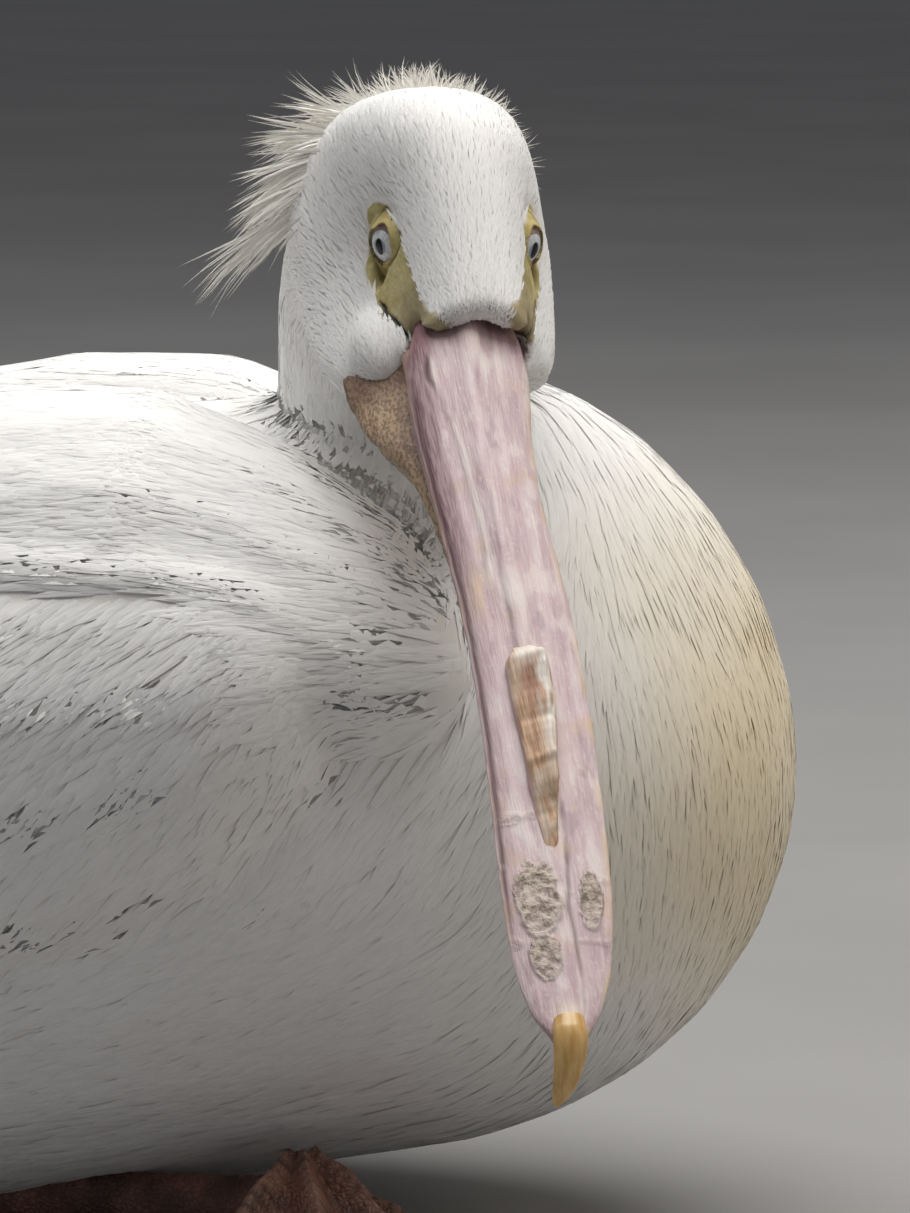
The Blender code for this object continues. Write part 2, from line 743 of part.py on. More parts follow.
def scapular_ring(x):
    """A section of the mound: an ellipse that leans outwards over the side."""
    y, z, half_width, half_thickness = read_table(SCAPULAR, x)
    ring = []
    for j in range(SCAPULAR_SIDES):
        turn = 2 * math.pi * (j + 0.5) / SCAPULAR_SIDES
        along, out = half_width * math.cos(turn), half_thickness * math.sin(turn)
        side = y + along * math.cos(SCAPULAR_TILT) + out * math.sin(SCAPULAR_TILT)
        height = z - along * math.sin(SCAPULAR_TILT) + out * math.cos(SCAPULAR_TILT)
        ring.append(Vector((x, -side, height)))
    return ring


def make_scapulars():
    return loft("scapulars_right", rings_along(SCAPULAR, SCAPULAR_RINGS, scapular_ring), "plumage")


def make_tail():
    """A fan that widens backwards and ends in a round edge, thick at the root and thin at the tips."""
    rings = []
    columns = 8
    for i in range(6):
        out = i / 5
        top, bottom = [], []
        for j in range(columns + 1):
            across = 2 * j / columns - 1
            angle = across * TAIL_HALF_SPREAD
            reach = out * TAIL_LENGTH * (1 - 0.10 * across**2)
            x = TAIL_START_X - reach * math.cos(angle)
            y = TAIL_ROOT_HALF_WIDTH * across + reach * math.sin(angle)
            middle = TAIL_Z[0] + (TAIL_Z[1] - TAIL_Z[0]) * out + TAIL_ARCH * (1 - across**2)
            thick = TAIL_THICKNESS[0] + (TAIL_THICKNESS[1] - TAIL_THICKNESS[0]) * out**0.6
            thick *= 0.35 + 0.65 * (1 - across**2) ** 0.5
            top.append(Vector((x, y, middle + thick / 2)))
            bottom.append(Vector((x, y, middle - thick / 2)))
        rings.append(top + bottom[::-1])
    return loft("tail", rings, "plumage")


def make_shank(side, sign, joint, hock):
    """The shank, from the toe joint back to the hock, flat where it lies on the floor."""
    start = Vector((joint[0], sign * joint[1], SHANK_HEIGHT))
    end = Vector((hock[0], sign * hock[1], SHANK_HEIGHT))
    across = (end - start).normalized().cross(Vector((0, 0, 1))).normalized()
    rings = []
    for share, radius in SHANK:
        centre = start + (end - start) * share
        ring = []
        for j in range(12):
            turn = 2 * math.pi * (j + 0.5) / 12
            point = centre + across * radius * math.cos(turn)
            point.z = max(FLOOR, centre.z + radius * 1.12 * math.sin(turn))
            ring.append(point)
        rings.append(ring)
    return loft(f"leg_{side}", rings, "foot_skin")


def web_reach(angle):
    """How far the foot reaches at an angle: to the toes' tips, and less between them."""
    for (a, length_a), (b, length_b) in zip(TOES, TOES[1:]):
        if angle <= b:
            t = (angle - a) / (b - a)
            return (length_a + (length_b - length_a) * t) * (1 - WEB_DIP * math.sin(math.pi * t))
    return TOES[-1][1]


def toe_heading(angle, turn, sign):
    """The direction along the floor of a toe whose angle is counted outwards from the foot's axis."""
    outwards = turn - angle
    return Vector((math.cos(outwards), sign * math.sin(outwards), 0))


def make_foot(side, sign, joint, turn):
    """A webbed foot on the floor: toes are ridges on a thin web that climbs to the joint."""
    angles = []
    for (a, _), (b, _) in zip(TOES, TOES[1:]):
        angles += [a + (b - a) * k for k in (0, 0.10, 0.5, 0.90)]
    angles.append(TOES[-1][0])
    shares = (0.12, 0.3, 0.5, 0.75, 1.0)
    over, under = [], []
    for angle in angles:
        heading = toe_heading(angle, turn, sign)
        for share in shares:
            radius = web_reach(angle) * share
            ridge = max(
                math.exp(-((radius * (angle - toe)) / TOE_HALF_WIDTH) ** 2) for toe, _ in TOES
            )
            rise = (ANKLE_HEIGHT - WEB_THICKNESS) * (1 - share) ** 1.5
            height = WEB_THICKNESS + rise + TOE_HEIGHT * ridge * (0.9 - 0.35 * share)
            x = joint[0] + radius * heading.x
            y = sign * joint[1] + radius * heading.y
            over.append((x, y, height))
            under.append((x, y, FLOOR))
    faces = slab_faces(len(shares), len(angles))
    return mesh_object(f"foot_{side}", over + under, faces, "foot_skin")


def make_claw(side, sign, joint, turn, number):
    """A short cone, curved down to the floor at the tip of a toe."""
    angle, length = TOES[number]
    ahead = toe_heading(angle, turn, sign)
    across = Vector((-ahead.y, ahead.x, 0))
    rings = []
    for i in range(3):
        t = i / 3
        radius = CLAW_RADIUS * (1 - t) ** 0.7
        out = length - CLAW_OVERLAP + CLAW_LENGTH * t
        height = CLAW_Z[0] + (CLAW_Z[1] - CLAW_Z[0]) * t**2
        centre = Vector((joint[0], sign * joint[1], height)) + ahead * out
        rings.append(
            [
                centre + across * radius * math.cos(a) + Vector((0, 0, radius * math.sin(a)))
                for a in (2 * math.pi * j / 6 for j in range(6))
            ]
        )
    tip = Vector((joint[0], sign * joint[1], CLAW_Z[1]))
    tip += ahead * (length - CLAW_OVERLAP + CLAW_LENGTH)
    rings.append([tip])
    return loft(f"claw_{side}_{number + 1}", rings, "claw_horn")


def make_head_group(neck, trunk_cutter):
    """The head, the bill's parts, the eyes, the crest and the neck, each cut clear of those it meets."""
    head = make_head()
    upper = make_upper_bill()
    lower = make_lower_bill()
    pouch = make_pouch()
    ridge = make_bill_ridge()
    nail = make_nail()
    crest = make_crest()
    eyes = [make_eye("right", -1), make_eye("left", 1)]
    head_cutter, upper_cutter, lower_cutter, pouch_cutter, nail_cutter, neck_cutter = (
        grown_copy(obj) for obj in (head, upper, lower, pouch, nail, neck)
    )
    eye_cutters = [grown_copy(eye) for eye in eyes]
    carve(upper, nail_cutter)
    carve(lower, upper_cutter, nail_cutter)
    carve(pouch, upper_cutter, lower_cutter)
    carve(ridge, upper_cutter)
    carve(head, upper_cutter, lower_cutter, pouch_cutter, *eye_cutters)
    carve(crest, head_cutter, neck_cutter)
    carve(neck, trunk_cutter, head_cutter, pouch_cutter)


def make_wings(trunk_cutter, neck_cutter):
    """Scapulars and wings on the right, cut clear of the trunk, then the same pieces mirrored."""
    scapulars = make_scapulars()
    wing = make_wing()
    scapular_cutter = grown_copy(scapulars)
    wing_cutter = grown_copy(wing)
    carve(scapulars, trunk_cutter, neck_cutter)
    carve(wing, trunk_cutter, scapular_cutter)
    lean = (1.0, 0.0, WING_CUT_LEAN)
    first, second = (Vector((x, 0.0, WING_CUT_Z)) for x in WING_CUTS)
    hand, arm = part_at(wing, "wing_rest", "wing_right_coverts", first, lean)
    tip, flight = part_at(hand, "wing_right_primaries", "wing_right_secondaries", second, lean)
    tip.data.materials.clear()
    tip.data.materials.append(material("flight_feather"))
    for piece in (scapulars, arm, flight, tip):
        keep_largest(piece)
        mirrored(piece, piece.name.replace("right", "left"))
    return wing_cutter


def make_feet(trunk_cutter):
    for side, sign, joint, hock, turn in LEGS:
        leg = make_shank(side, sign, joint, hock)
        foot = make_foot(side, sign, joint, turn)
        leg_cutter = grown_copy(leg)
        foot_cutter = grown_copy(foot)
        carve(leg, trunk_cutter)
        carve(foot, leg_cutter, trunk_cutter)
        for number in range(len(TOES)):
            carve(make_claw(side, sign, joint, turn, number), foot_cutter, trunk_cutter)


def main():
    clear_scene()
    trunk_whole = make_trunk()
    trunk_cutter = grown_copy(trunk_whole)
    neck = make_neck()
    neck_cutter = grown_copy(neck)
    make_head_group(neck, trunk_cutter)
    wing_cutter = make_wings(trunk_cutter, neck_cutter)
    tail = make_tail()
    carve(tail, trunk_cutter, wing_cutter, mirrored(wing_cutter, "wing_left_cutter"))
    make_feet(trunk_cutter)
    part_at(
        trunk_whole,
        "trunk",
        "neck_base",
        (0.0, 0.0, NECK_SKIRT_Z),
        (-NECK_SKIRT_SLOPE, 0.0, 1.0),
    )
    for obj in [obj for obj in bpy.data.objects if obj.hide_render]:
        bpy.data.objects.remove(obj, do_unlink=True)


main()
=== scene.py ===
"""Looks of the resting white pelican: one skin, its coat of feathers, bill, pouch, eyes and feet.

Metres, +Z up; the bird faces +X and its left is +Y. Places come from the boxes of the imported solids.
The coat is thousands of thin closed vanes combed over smooth copies of the solids, whose surface is the
outline of the plumage. The head has axes of its own: x along the bill, y to the bird's left, z up.
"""

import math

import bmesh
import bpy
import numpy as np
from mathutils import Matrix, Vector


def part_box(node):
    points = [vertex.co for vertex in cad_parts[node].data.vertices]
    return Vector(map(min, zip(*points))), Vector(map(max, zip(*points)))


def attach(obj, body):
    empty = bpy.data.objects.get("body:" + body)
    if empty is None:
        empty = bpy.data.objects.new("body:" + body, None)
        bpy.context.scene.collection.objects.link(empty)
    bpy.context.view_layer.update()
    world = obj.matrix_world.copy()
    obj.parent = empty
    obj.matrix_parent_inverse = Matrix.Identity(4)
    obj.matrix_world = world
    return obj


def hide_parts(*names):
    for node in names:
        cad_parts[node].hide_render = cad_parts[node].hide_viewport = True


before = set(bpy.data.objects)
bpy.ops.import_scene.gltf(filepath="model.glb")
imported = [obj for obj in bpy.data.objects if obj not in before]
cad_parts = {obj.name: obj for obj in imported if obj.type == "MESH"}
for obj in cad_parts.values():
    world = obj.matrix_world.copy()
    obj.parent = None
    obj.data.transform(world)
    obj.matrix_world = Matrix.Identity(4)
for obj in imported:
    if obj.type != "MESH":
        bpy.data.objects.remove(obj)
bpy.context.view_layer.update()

RANDOM = np.random.default_rng(41)
MM = 0.001

# Places on the bird, read from the frame.
EYE_RIGHT = sum(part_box("eye_right"), Vector()) / 2
EYE_LEFT = sum(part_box("eye_left"), Vector()) / 2
EYE_RADIUS = (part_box("eye_left")[1].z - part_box("eye_left")[0].z) / 2
EYE_RISE = 0.0010  # the eyes' centres lie this far above the head's own origin
# The eyeballs are set a little deeper than the solids' eyes, and the face is rolled to the bird's left.
EYE_DEEPER = 0.0012
FACE_ROLL = 0.030
EYE_SIDE = (EYE_LEFT - EYE_RIGHT).length / 2 - EYE_DEEPER
HEAD_PITCH = math.radians(35.0)
BILL_START = 0.036
BILL_END = 0.334
BILL_SIDE_BEND = -0.012  # how far the tip bends to the bird's right
BILL_DROOP = -0.012
GAPE_Z = -0.0040  # height of the line between the bill's halves

LEFT = (EYE_LEFT - EYE_RIGHT).normalized()
LEVEL = LEFT.cross(Vector((0, 0, 1)))
FORWARD = LEVEL * math.cos(HEAD_PITCH) - Vector((0, 0, math.sin(HEAD_PITCH)))
HEAD_AXES = np.array([FORWARD, LEFT, FORWARD.cross(LEFT)])
HEAD_AT = np.array((EYE_RIGHT + EYE_LEFT) / 2 - FORWARD.cross(LEFT) * EYE_RISE)
FORWARD, LEFT, UP = HEAD_AXES  # from here on as arrays

DOWN = np.array([0.0, 0.0, -1.0])

# How far the skin lies under the outline of the feathers.
BODY_COAT = 0.40 * MM
HEAD_COAT = 0.45 * MM
SKIN_VOXEL = 3.2 * MM
LOWEST = 0.2 * MM  # nothing of the coat goes lower than this over the floor
TUCK = 0.9 * MM  # the vanes' roots lie this far under the skin


# ---------------------------------------------------------------- arrays


def to_head(points):
    """Points of the bird in the head's own axes."""
    return (points - HEAD_AT) @ HEAD_AXES.T


def from_head(points):
    """Points in the head's axes as places on the bird."""
    return points @ HEAD_AXES + HEAD_AT


def unit(rows):
    """Each row divided by its length."""
    return rows / np.maximum(np.linalg.norm(rows, axis=-1, keepdims=True), 1e-12)


def rows_of(*columns):
    """The columns side by side, each an array or one number for all rows."""
    return np.stack(np.broadcast_arrays(*columns), -1)


def ease(low, high, values):
    """0 below low, 1 above high, and a smooth S between them."""
    t = np.clip((values - low) / (high - low), 0, 1)
    return t * t * (3 - 2 * t)


def bump(values, middle, spread):
    """A bell of height 1 round the middle."""
    return np.exp(-(((values - middle) / spread) ** 2))


def noise(points, size, seed):
    """Smooth noise from -1 to 1: random numbers on a lattice of that size, eased between its corners."""
    table = np.random.default_rng(seed).random(4096) * 2 - 1
    place = points / size + 100
    cell = np.floor(place).astype(int)
    t = place - cell
    t = t * t * (3 - 2 * t)
    total = 0
    for corner in np.ndindex(2, 2, 2):
        key = (cell + corner) @ np.array([73, 1999, 3571])
        weight = np.where(np.array(corner), t, 1 - t).prod(-1)
        total = total + weight * table[key % 4096]
    return total


def grain(rings, size, seed, scale=(1, 1, 1)):
    """Noise at each point of the rings, drawn out along the axes whose scale is below 1."""
    return noise(rings.reshape(-1, 3) * np.array(scale), size, seed).reshape(rings.shape[:2])


def along(table, at):
    """The table's columns at places along its first column, on smooth monotone curves through the rows."""
    rows = np.array(table)
    x, y = rows[:, 0], rows[:, 1:]
    step = np.diff(x)[:, None]
    rise = np.diff(y, axis=0) / step
    product = rise[:-1] * rise[1:]
    middle = np.where(product > 0, 2 * product / (rise[:-1] + rise[1:] + 1e-30), 0)
    slope = np.concatenate([rise[:1], middle, rise[-1:]])
    at = np.clip(at, x[0], x[-1])
    row = np.clip(np.searchsorted(x, at, side="right") - 1, 0, len(x) - 2)
    span = step[row]
    t = (at - x[row])[:, None] / span
    value = y[row] * (2 * t**3 - 3 * t**2 + 1) + y[row + 1] * (3 * t**2 - 2 * t**3)
    value += span * (slope[row] * (t**3 - 2 * t**2 + t) + slope[row + 1] * (t**3 - t**2))
    return value.T


# ---------------------------------------------------------------- meshes


def circle(steps):
    """So many angles round a turn."""
    return np.linspace(0, 2 * math.pi, steps + 1)[:-1]


def build_mesh(name, points, faces):
    """A mesh from an array of points and a list of face arrays, each with one count of corners."""
    mesh = bpy.data.meshes.new(name)
    corners = np.concatenate([block.ravel() for block in faces])
    sizes = np.concatenate([np.full(len(block), block.shape[1]) for block in faces])
    mesh.vertices.add(len(points))
    mesh.vertices.foreach_set("co", points.astype(np.float32).ravel())
    mesh.loops.add(len(corners))
    mesh.loops.foreach_set("vertex_index", corners.astype(np.int32))
    mesh.polygons.add(len(sizes))
    starts = np.concatenate([[0], np.cumsum(sizes)[:-1]])
    mesh.polygons.foreach_set("loop_start", starts.astype(np.int32))
    mesh.update(calc_edges=True)
    mesh.shade_smooth()
    return mesh


def shown(name, data):
    """A new object in the scene."""
    made = bpy.data.objects.new(name, data)
    bpy.context.scene.collection.objects.link(made)
    return made


def add_piece(name, mesh, finish, slot, *nodes):
    """Puts a finished mesh in the scene, riding on the bird and standing for the CAD nodes named."""
    piece = shown(name, mesh)
    mesh.materials.append(finish)
    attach(piece, "root")
    if nodes:
        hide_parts(*nodes)
    return piece


def set_number(mesh, name, values):
    """A named number on each vertex, which a material reads."""
    layer = mesh.attributes.new(name, "FLOAT", "POINT")
    layer.data.foreach_set("value", np.asarray(values, np.float32).ravel())


def set_vector(mesh, name, values):
    """A named vector on each vertex."""
    layer = mesh.attributes.new(name, "FLOAT_VECTOR", "POINT")
    layer.data.foreach_set("vector", np.asarray(values, np.float32).ravel())


def set_uv(mesh, name, places):
    """A UV map from a pair of numbers for each vertex."""
    layer = mesh.uv_layers.new(name=name)
    corners = np.empty(len(mesh.loops), np.int32)
    mesh.loops.foreach_get("vertex_index", corners)
    layer.data.foreach_set("uv", places[corners].astype(np.float32).ravel())


def positions(mesh):
    """Where each vertex is."""
    found = np.empty(len(mesh.vertices) * 3, np.float32)
    mesh.vertices.foreach_get("co", found)
    return found.reshape(-1, 3).astype(float)


def move_to(mesh, points):
    """Puts each vertex at its point."""
    mesh.vertices.foreach_set("co", points.astype(np.float32).ravel())
    mesh.update()


def directions(mesh):
    """The outward direction at each vertex."""
    found = np.empty(len(mesh.vertices) * 3, np.float32)
    mesh.vertex_normals.foreach_get("vector", found)
    return found.reshape(-1, 3).astype(float)


def tube_mesh(name, rings):
    """A closed skin through an array (rings, points, 3), with a pole at each end."""
    count, sides = rings.shape[:2]
    points = np.concatenate([rings.reshape(-1, 3), rings[0].mean(0)[None], rings[-1].mean(0)[None]])
    i, j = np.meshgrid(np.arange(count - 1), np.arange(sides), indexing="ij")
    k = (j + 1) % sides
    quads = np.stack([i * sides + j, i * sides + k, (i + 1) * sides + k, (i + 1) * sides + j], -1)
    j = np.arange(sides)
    k = (j + 1) % sides
    last = (count - 1) * sides
    first_cap = np.stack([np.full(sides, count * sides), k, j], -1)
    last_cap = np.stack([np.full(sides, count * sides + 1), last + j, last + k], -1)
    mesh = build_mesh(name, points, [quads.reshape(-1, 4), first_cap, last_cap])
    turn_outwards(mesh)
    return mesh


def slab_faces(rows, columns):
    """The faces of a closed slab: a grid of points row by row, then the same grid for its underside."""
    i, j = (k.ravel() for k in np.meshgrid(np.arange(rows - 1), np.arange(columns - 1), indexing="ij"))
    a = i * columns + j
    top = np.stack([a, a + columns, a + columns + 1, a + 1], -1)
    rim = np.concatenate(
        [
            np.arange(columns),
            np.arange(1, rows) * columns + columns - 1,
            (rows - 1) * columns + np.arange(columns - 2, -1, -1),
            np.arange(rows - 2, 0, -1) * columns,
        ]
    )
    after = np.roll(rim, -1)
    total = rows * columns
    wall = np.stack([rim, after, after + total, rim + total], -1)
    return np.concatenate([top, top[:, ::-1] + total, wall])


def ringed_piece(name, rings, marks, finish, slot, node):
    """A closed piece through rings in the head's axes, with the numbers that its material reads.

    A mark has a number for each point of the rings and 0 at both poles, or is one number for them all.
    """
    mesh = tube_mesh(name, from_head(rings))
    flat = rings.reshape(-1, 3)
    set_vector(mesh, "head_place", np.concatenate([flat, flat[:1], flat[-1:]]))
    for label, values in marks.items():
        poles = np.full(2, values) if np.ndim(values) == 0 else np.zeros(2)
        values = np.broadcast_to(values, rings.shape[:2]).ravel()
        set_number(mesh, label, np.clip(np.concatenate([values, poles]), 0, 1))
    add_piece(name, mesh, finish, slot, node)


def turn_outwards(mesh):
    """Flips a closed mesh whose signed volume is below zero."""
    work = bmesh.new()
    work.from_mesh(mesh)
    if work.calc_volume(signed=True) < 0:
        bmesh.ops.reverse_faces(work, faces=work.faces)
        work.to_mesh(mesh)
        mesh.shade_smooth()
    work.free()


def remeshed(form, voxel, smoothing):
    """Makes the form one closed surface of even faces and smooths it so many times."""
    remesh = form.modifiers.new("remesh", "REMESH")
    remesh.mode = "VOXEL"
    remesh.voxel_size = voxel
    remesh.use_smooth_shade = True
    relax = form.modifiers.new("relax", "SMOOTH")
    relax.factor = 0.5
    relax.iterations = smoothing
    graph = bpy.context.evaluated_depsgraph_get()
    mesh = bpy.data.meshes.new_from_object(form.evaluated_get(graph))
    form.modifiers.clear()
    form.data = mesh
    return form


def form_of(name, nodes, voxel, smoothing, grow=0.4 * MM, swellings=()):
    """One smooth closed surface round copies of the nodes, kept only while the script runs.

    A swelling is an ellipsoid in the head's axes, given as its middle and its half lengths.
    """
    work = bmesh.new()
    for node in nodes:
        work.from_mesh(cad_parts[node].data)
    bmesh.ops.remove_doubles(work, verts=work.verts, dist=1e-5)
    for middle, halves in swellings:
        ball = bmesh.ops.create_icosphere(work, subdivisions=4, radius=1.0)["verts"]
        for vert in ball:
            vert.co = Vector(from_head(np.array(vert.co) * halves + middle))
    mesh = bpy.data.meshes.new(name)
    work.to_mesh(mesh)
    work.free()
    move_to(mesh, positions(mesh) + directions(mesh) * grow)
    return remeshed(shown(name, mesh), voxel, smoothing)


def settle(points, surface):
    """Where each point lands on a surface, and the surface's outward direction there."""
    mesh = bpy.data.meshes.new("probe")
    mesh.vertices.add(len(points))
    move_to(mesh, points)
    probe = shown("probe", mesh)
    wrap = probe.modifiers.new("wrap", "SHRINKWRAP")
    wrap.target = surface
    wrap.wrap_method = "NEAREST_SURFACEPOINT"
    landed = []
    for mode, height in (("ON_SURFACE", 0.0), ("ABOVE_SURFACE", 0.01)):
        wrap.wrap_mode = mode
        wrap.offset = height
        graph = bpy.context.evaluated_depsgraph_get()
        graph.update()
        landed.append(positions(probe.evaluated_get(graph).data))
    bpy.data.objects.remove(probe)
    bpy.data.meshes.remove(mesh)
    return landed[0], unit(landed[1] - landed[0])


def buried(points, surface, depth):
    """True where a point lies deeper than that inside a closed surface."""
    landed, out = settle(points, surface)
    return ((points - landed) * out).sum(-1) < -depth


# ---------------------------------------------------------------- materials


def hex_colour(code):
    """An sRGB hex colour as linear RGBA."""
    parts = [int(code[i : i + 2], 16) / 255 for i in (0, 2, 4)]
    parts = [p / 12.92 if p <= 0.04045 else ((p + 0.055) / 1.055) ** 2.4 for p in parts]
    return (*parts, 1.0)


def add(tree, kind, inputs=(), **settings):
    """Adds a node, with its settings, and its inputs as values or links."""
    made = tree.nodes.new("ShaderNode" + kind)
    for key, value in settings.items():
        setattr(made, key, value)
    for key, value in dict(inputs).items():
        if isinstance(value, bpy.types.NodeSocket):
            tree.links.new(value, made.inputs[key])
        else:
            made.inputs[key].default_value = value
    return made


def new_finish(name, **sockets):
    """A material with a Principled shader, whose constant values sit on its own sockets."""
    finish = bpy.data.materials.new(name)
    finish.use_nodes = True
    shader = finish.node_tree.nodes["Principled BSDF"]
    for key, value in sockets.items():
        shader.inputs[key.replace("_", " ")].default_value = value
    return finish, finish.node_tree, shader


def mixed(tree, share, one, other, blend="MIX"):
    """Colour one where the share is 0 and the other where it is 1."""
    node = add(tree, "Mix", data_type="RGBA", blend_type=blend, clamp_factor=True)
    for index, value in ((0, share), (6, one), (7, other)):
        if isinstance(value, bpy.types.NodeSocket):
            tree.links.new(value, node.inputs[index])
        else:
            node.inputs[index].default_value = hex_colour(value) if isinstance(value, str) else value
    return node.outputs[2]


def ranged(tree, value, low, high, start=0.0, end=1.0):
    """A value eased from one range to another."""
    inputs = {"Value": value, "From Min": low, "From Max": high, "To Min": start, "To Max": end}
    return add(tree, "MapRange", inputs, interpolation_type="SMOOTHSTEP").outputs[0]


def number(tree, name):
    """A number that set_number wrote on the mesh."""
    return add(tree, "Attribute", attribute_name=name).outputs["Fac"]


def clouds(tree, vector, scale, detail):
    """Noise of so many cells to the metre."""
    return add(tree, "TexNoise", {"Vector": vector, "Scale": scale, "Detail": detail}).outputs["Fac"]


def stretched(tree, vector, *scale):
    """The same places with each axis scaled, so that a pattern runs along the shortened one."""
    return add(tree, "Mapping", {"Vector": vector, "Scale": scale}).outputs[0]


def relieved(tree, shader, height, strength, distance, under=None):
    """Sets the shader's normal from a height, over another relief if there is one."""
    inputs = {"Height": height, "Strength": strength, "Distance": distance}
    if under:
        inputs["Normal"] = under
    relief = add(tree, "Bump", inputs).outputs[0]
    tree.links.new(relief, shader.inputs["Normal"])
    return relief


def coloured(tree, shader, colour):
    """Links the finished colour to the shader."""
    tree.links.new(colour, shader.inputs["Base Color"])


def object_place(tree):
    """The point on the bird, in metres."""
    return add(tree, "TexCoord").outputs["Object"]


def maths(tree, operation, one, other=0.5):
    """One sum on two values."""
    return add(tree, "Math", {0: one, 1: other}, operation=operation).outputs[0]


def plumage_colour(tree):
    """White that turns cream and straw yellow over the front of the breast, as the oiled breast does."""
    place = object_place(tree)
    axes = add(tree, "SeparateXYZ", {0: place})
    blotch = clouds(tree, place, 14.0, 2.0)
    ahead = maths(tree, "MULTIPLY_ADD", blotch, 0.06)
    ahead.node.inputs[2].default_value = -0.03
    ahead = maths(tree, "ADD", ahead, axes.outputs["X"])
    breast = ranged(tree, ahead, 0.255, 0.335)
    low = ranged(tree, axes.outputs["Z"], 0.03, 0.12, 0.35, 1.0)
    high = ranged(tree, axes.outputs["Z"], 0.20, 0.26, 1.0, 0.25)
    share = maths(tree, "MULTIPLY", maths(tree, "MULTIPLY", breast, low), high)
    tinted = mixed(tree, share, "FAF9F7", "F3E4C2")
    return tinted


def plume_finish(name, colour=None, barb=0.35):
    """White feather: matt keratin barbs with air in them, so light spreads and edges stay soft. Each vane is
    painted darker towards its root, as painted shade where it lies under the plumes ahead of it.
    """
    finish, tree, shader = new_finish(
        name, Roughness=0.72, Sheen_Weight=0.25, Sheen_Roughness=0.5, Specular_IOR_Level=0.25
    )
    base = plumage_colour(tree) if colour is None else hex_colour(colour)
    vane = add(tree, "UVMap", uv_map="Vane").outputs[0]
    # Barbs are 0.3 mm apart and don't show, so they are drawn as locks about 1 mm wide.
    streaked = stretched(tree, vane, 1.0, 0.10, 1.0)
    barbs = clouds(tree, streaked, 11.0, 3.0)
    tone = ranged(tree, number(tree, "tone"), 0.0, 1.0, 0.94, 1.0)
    shade = maths(tree, "MULTIPLY", ranged(tree, barbs, 0.3, 0.7, 0.955, 1.0), tone)
    # Painted shade: each vane darkens towards its root, where it lies under the plumes ahead of it.
    lightness_and_root_shade = maths(tree, "MULTIPLY", shade, ranged(tree, number(tree, "out"), 0.0, 0.5, 0.94, 1.0))
    grey = add(tree, "CombineColor", {0: lightness_and_root_shade, 1: lightness_and_root_shade, 2: lightness_and_root_shade}).outputs[0]
    coloured(tree, shader, mixed(tree, 1.0, base, grey, "MULTIPLY"))
    relieved(tree, shader, barbs, barb, 0.0006)
    return finish


def skin_finish():
    """Skin under the feathers, white as their down but a little darker as painted shade for the depth under
    the coat, and bare olive-yellow skin round the eyes with painted shade in its folds and in the mouth's
    corner.
    """
    finish, tree, shader = new_finish(
        "skin_and_down", Roughness=0.62, Specular_IOR_Level=0.35, Subsurface_Scale=0.002
    )
    # The down is a little darker than the plumage: painted shade for the depth under the coat.
    down = mixed(tree, 1.0, plumage_colour(tree), "F4F2F0", "MULTIPLY")
    place, ahead = head_place(tree)
    fine = clouds(tree, place, 900.0, 4.0)
    broad = clouds(tree, place, 120.0, 3.0)
    yellow = mixed(tree, ranged(tree, broad, 0.35, 0.65), "B3A66C", "D3C791")
    yellow = mixed(tree, ranged(tree, fine, 0.45, 0.75, 0.0, 0.35), yellow, "8A7F52")
    yellow = mixed(tree, ranged(tree, ahead, 0.014, 0.034, 0.0, 0.5), yellow, "93837A")
    near = number(tree, "lid")
    ringed = mixed(tree, ranged(tree, near, 1.7, 1.15, 0.0, 0.7), yellow, "C6B070")
    rim = mixed(tree, ranged(tree, near, 1.14, 1.02), ringed, "8A6E62")
    # Painted shade in the troughs of the folds round the eyes.
    crease_shaded = mixed(tree, number(tree, "crease_shade"), rim, "5C4A30")
    # Painted shade: the mouth's corner is coloured near-black.
    shaded_slit = mixed(tree, number(tree, "shaded_slit"), crease_shaded, "1E1612")
    coloured(tree, shader, mixed(tree, number(tree, "bare"), down, shaded_slit))
    cells = add(tree, "TexVoronoi", {"Vector": place, "Scale": 1400.0}).outputs["Distance"]
    relieved(tree, shader, cells, 0.25, 0.0002)
    return finish


def head_place(tree):
    """The point in the head's own axes, and how far it lies towards the bill's tip."""
    vector = add(tree, "Attribute", attribute_name="head_place").outputs["Vector"]
    return vector, add(tree, "SeparateXYZ", {0: vector}).outputs["X"]


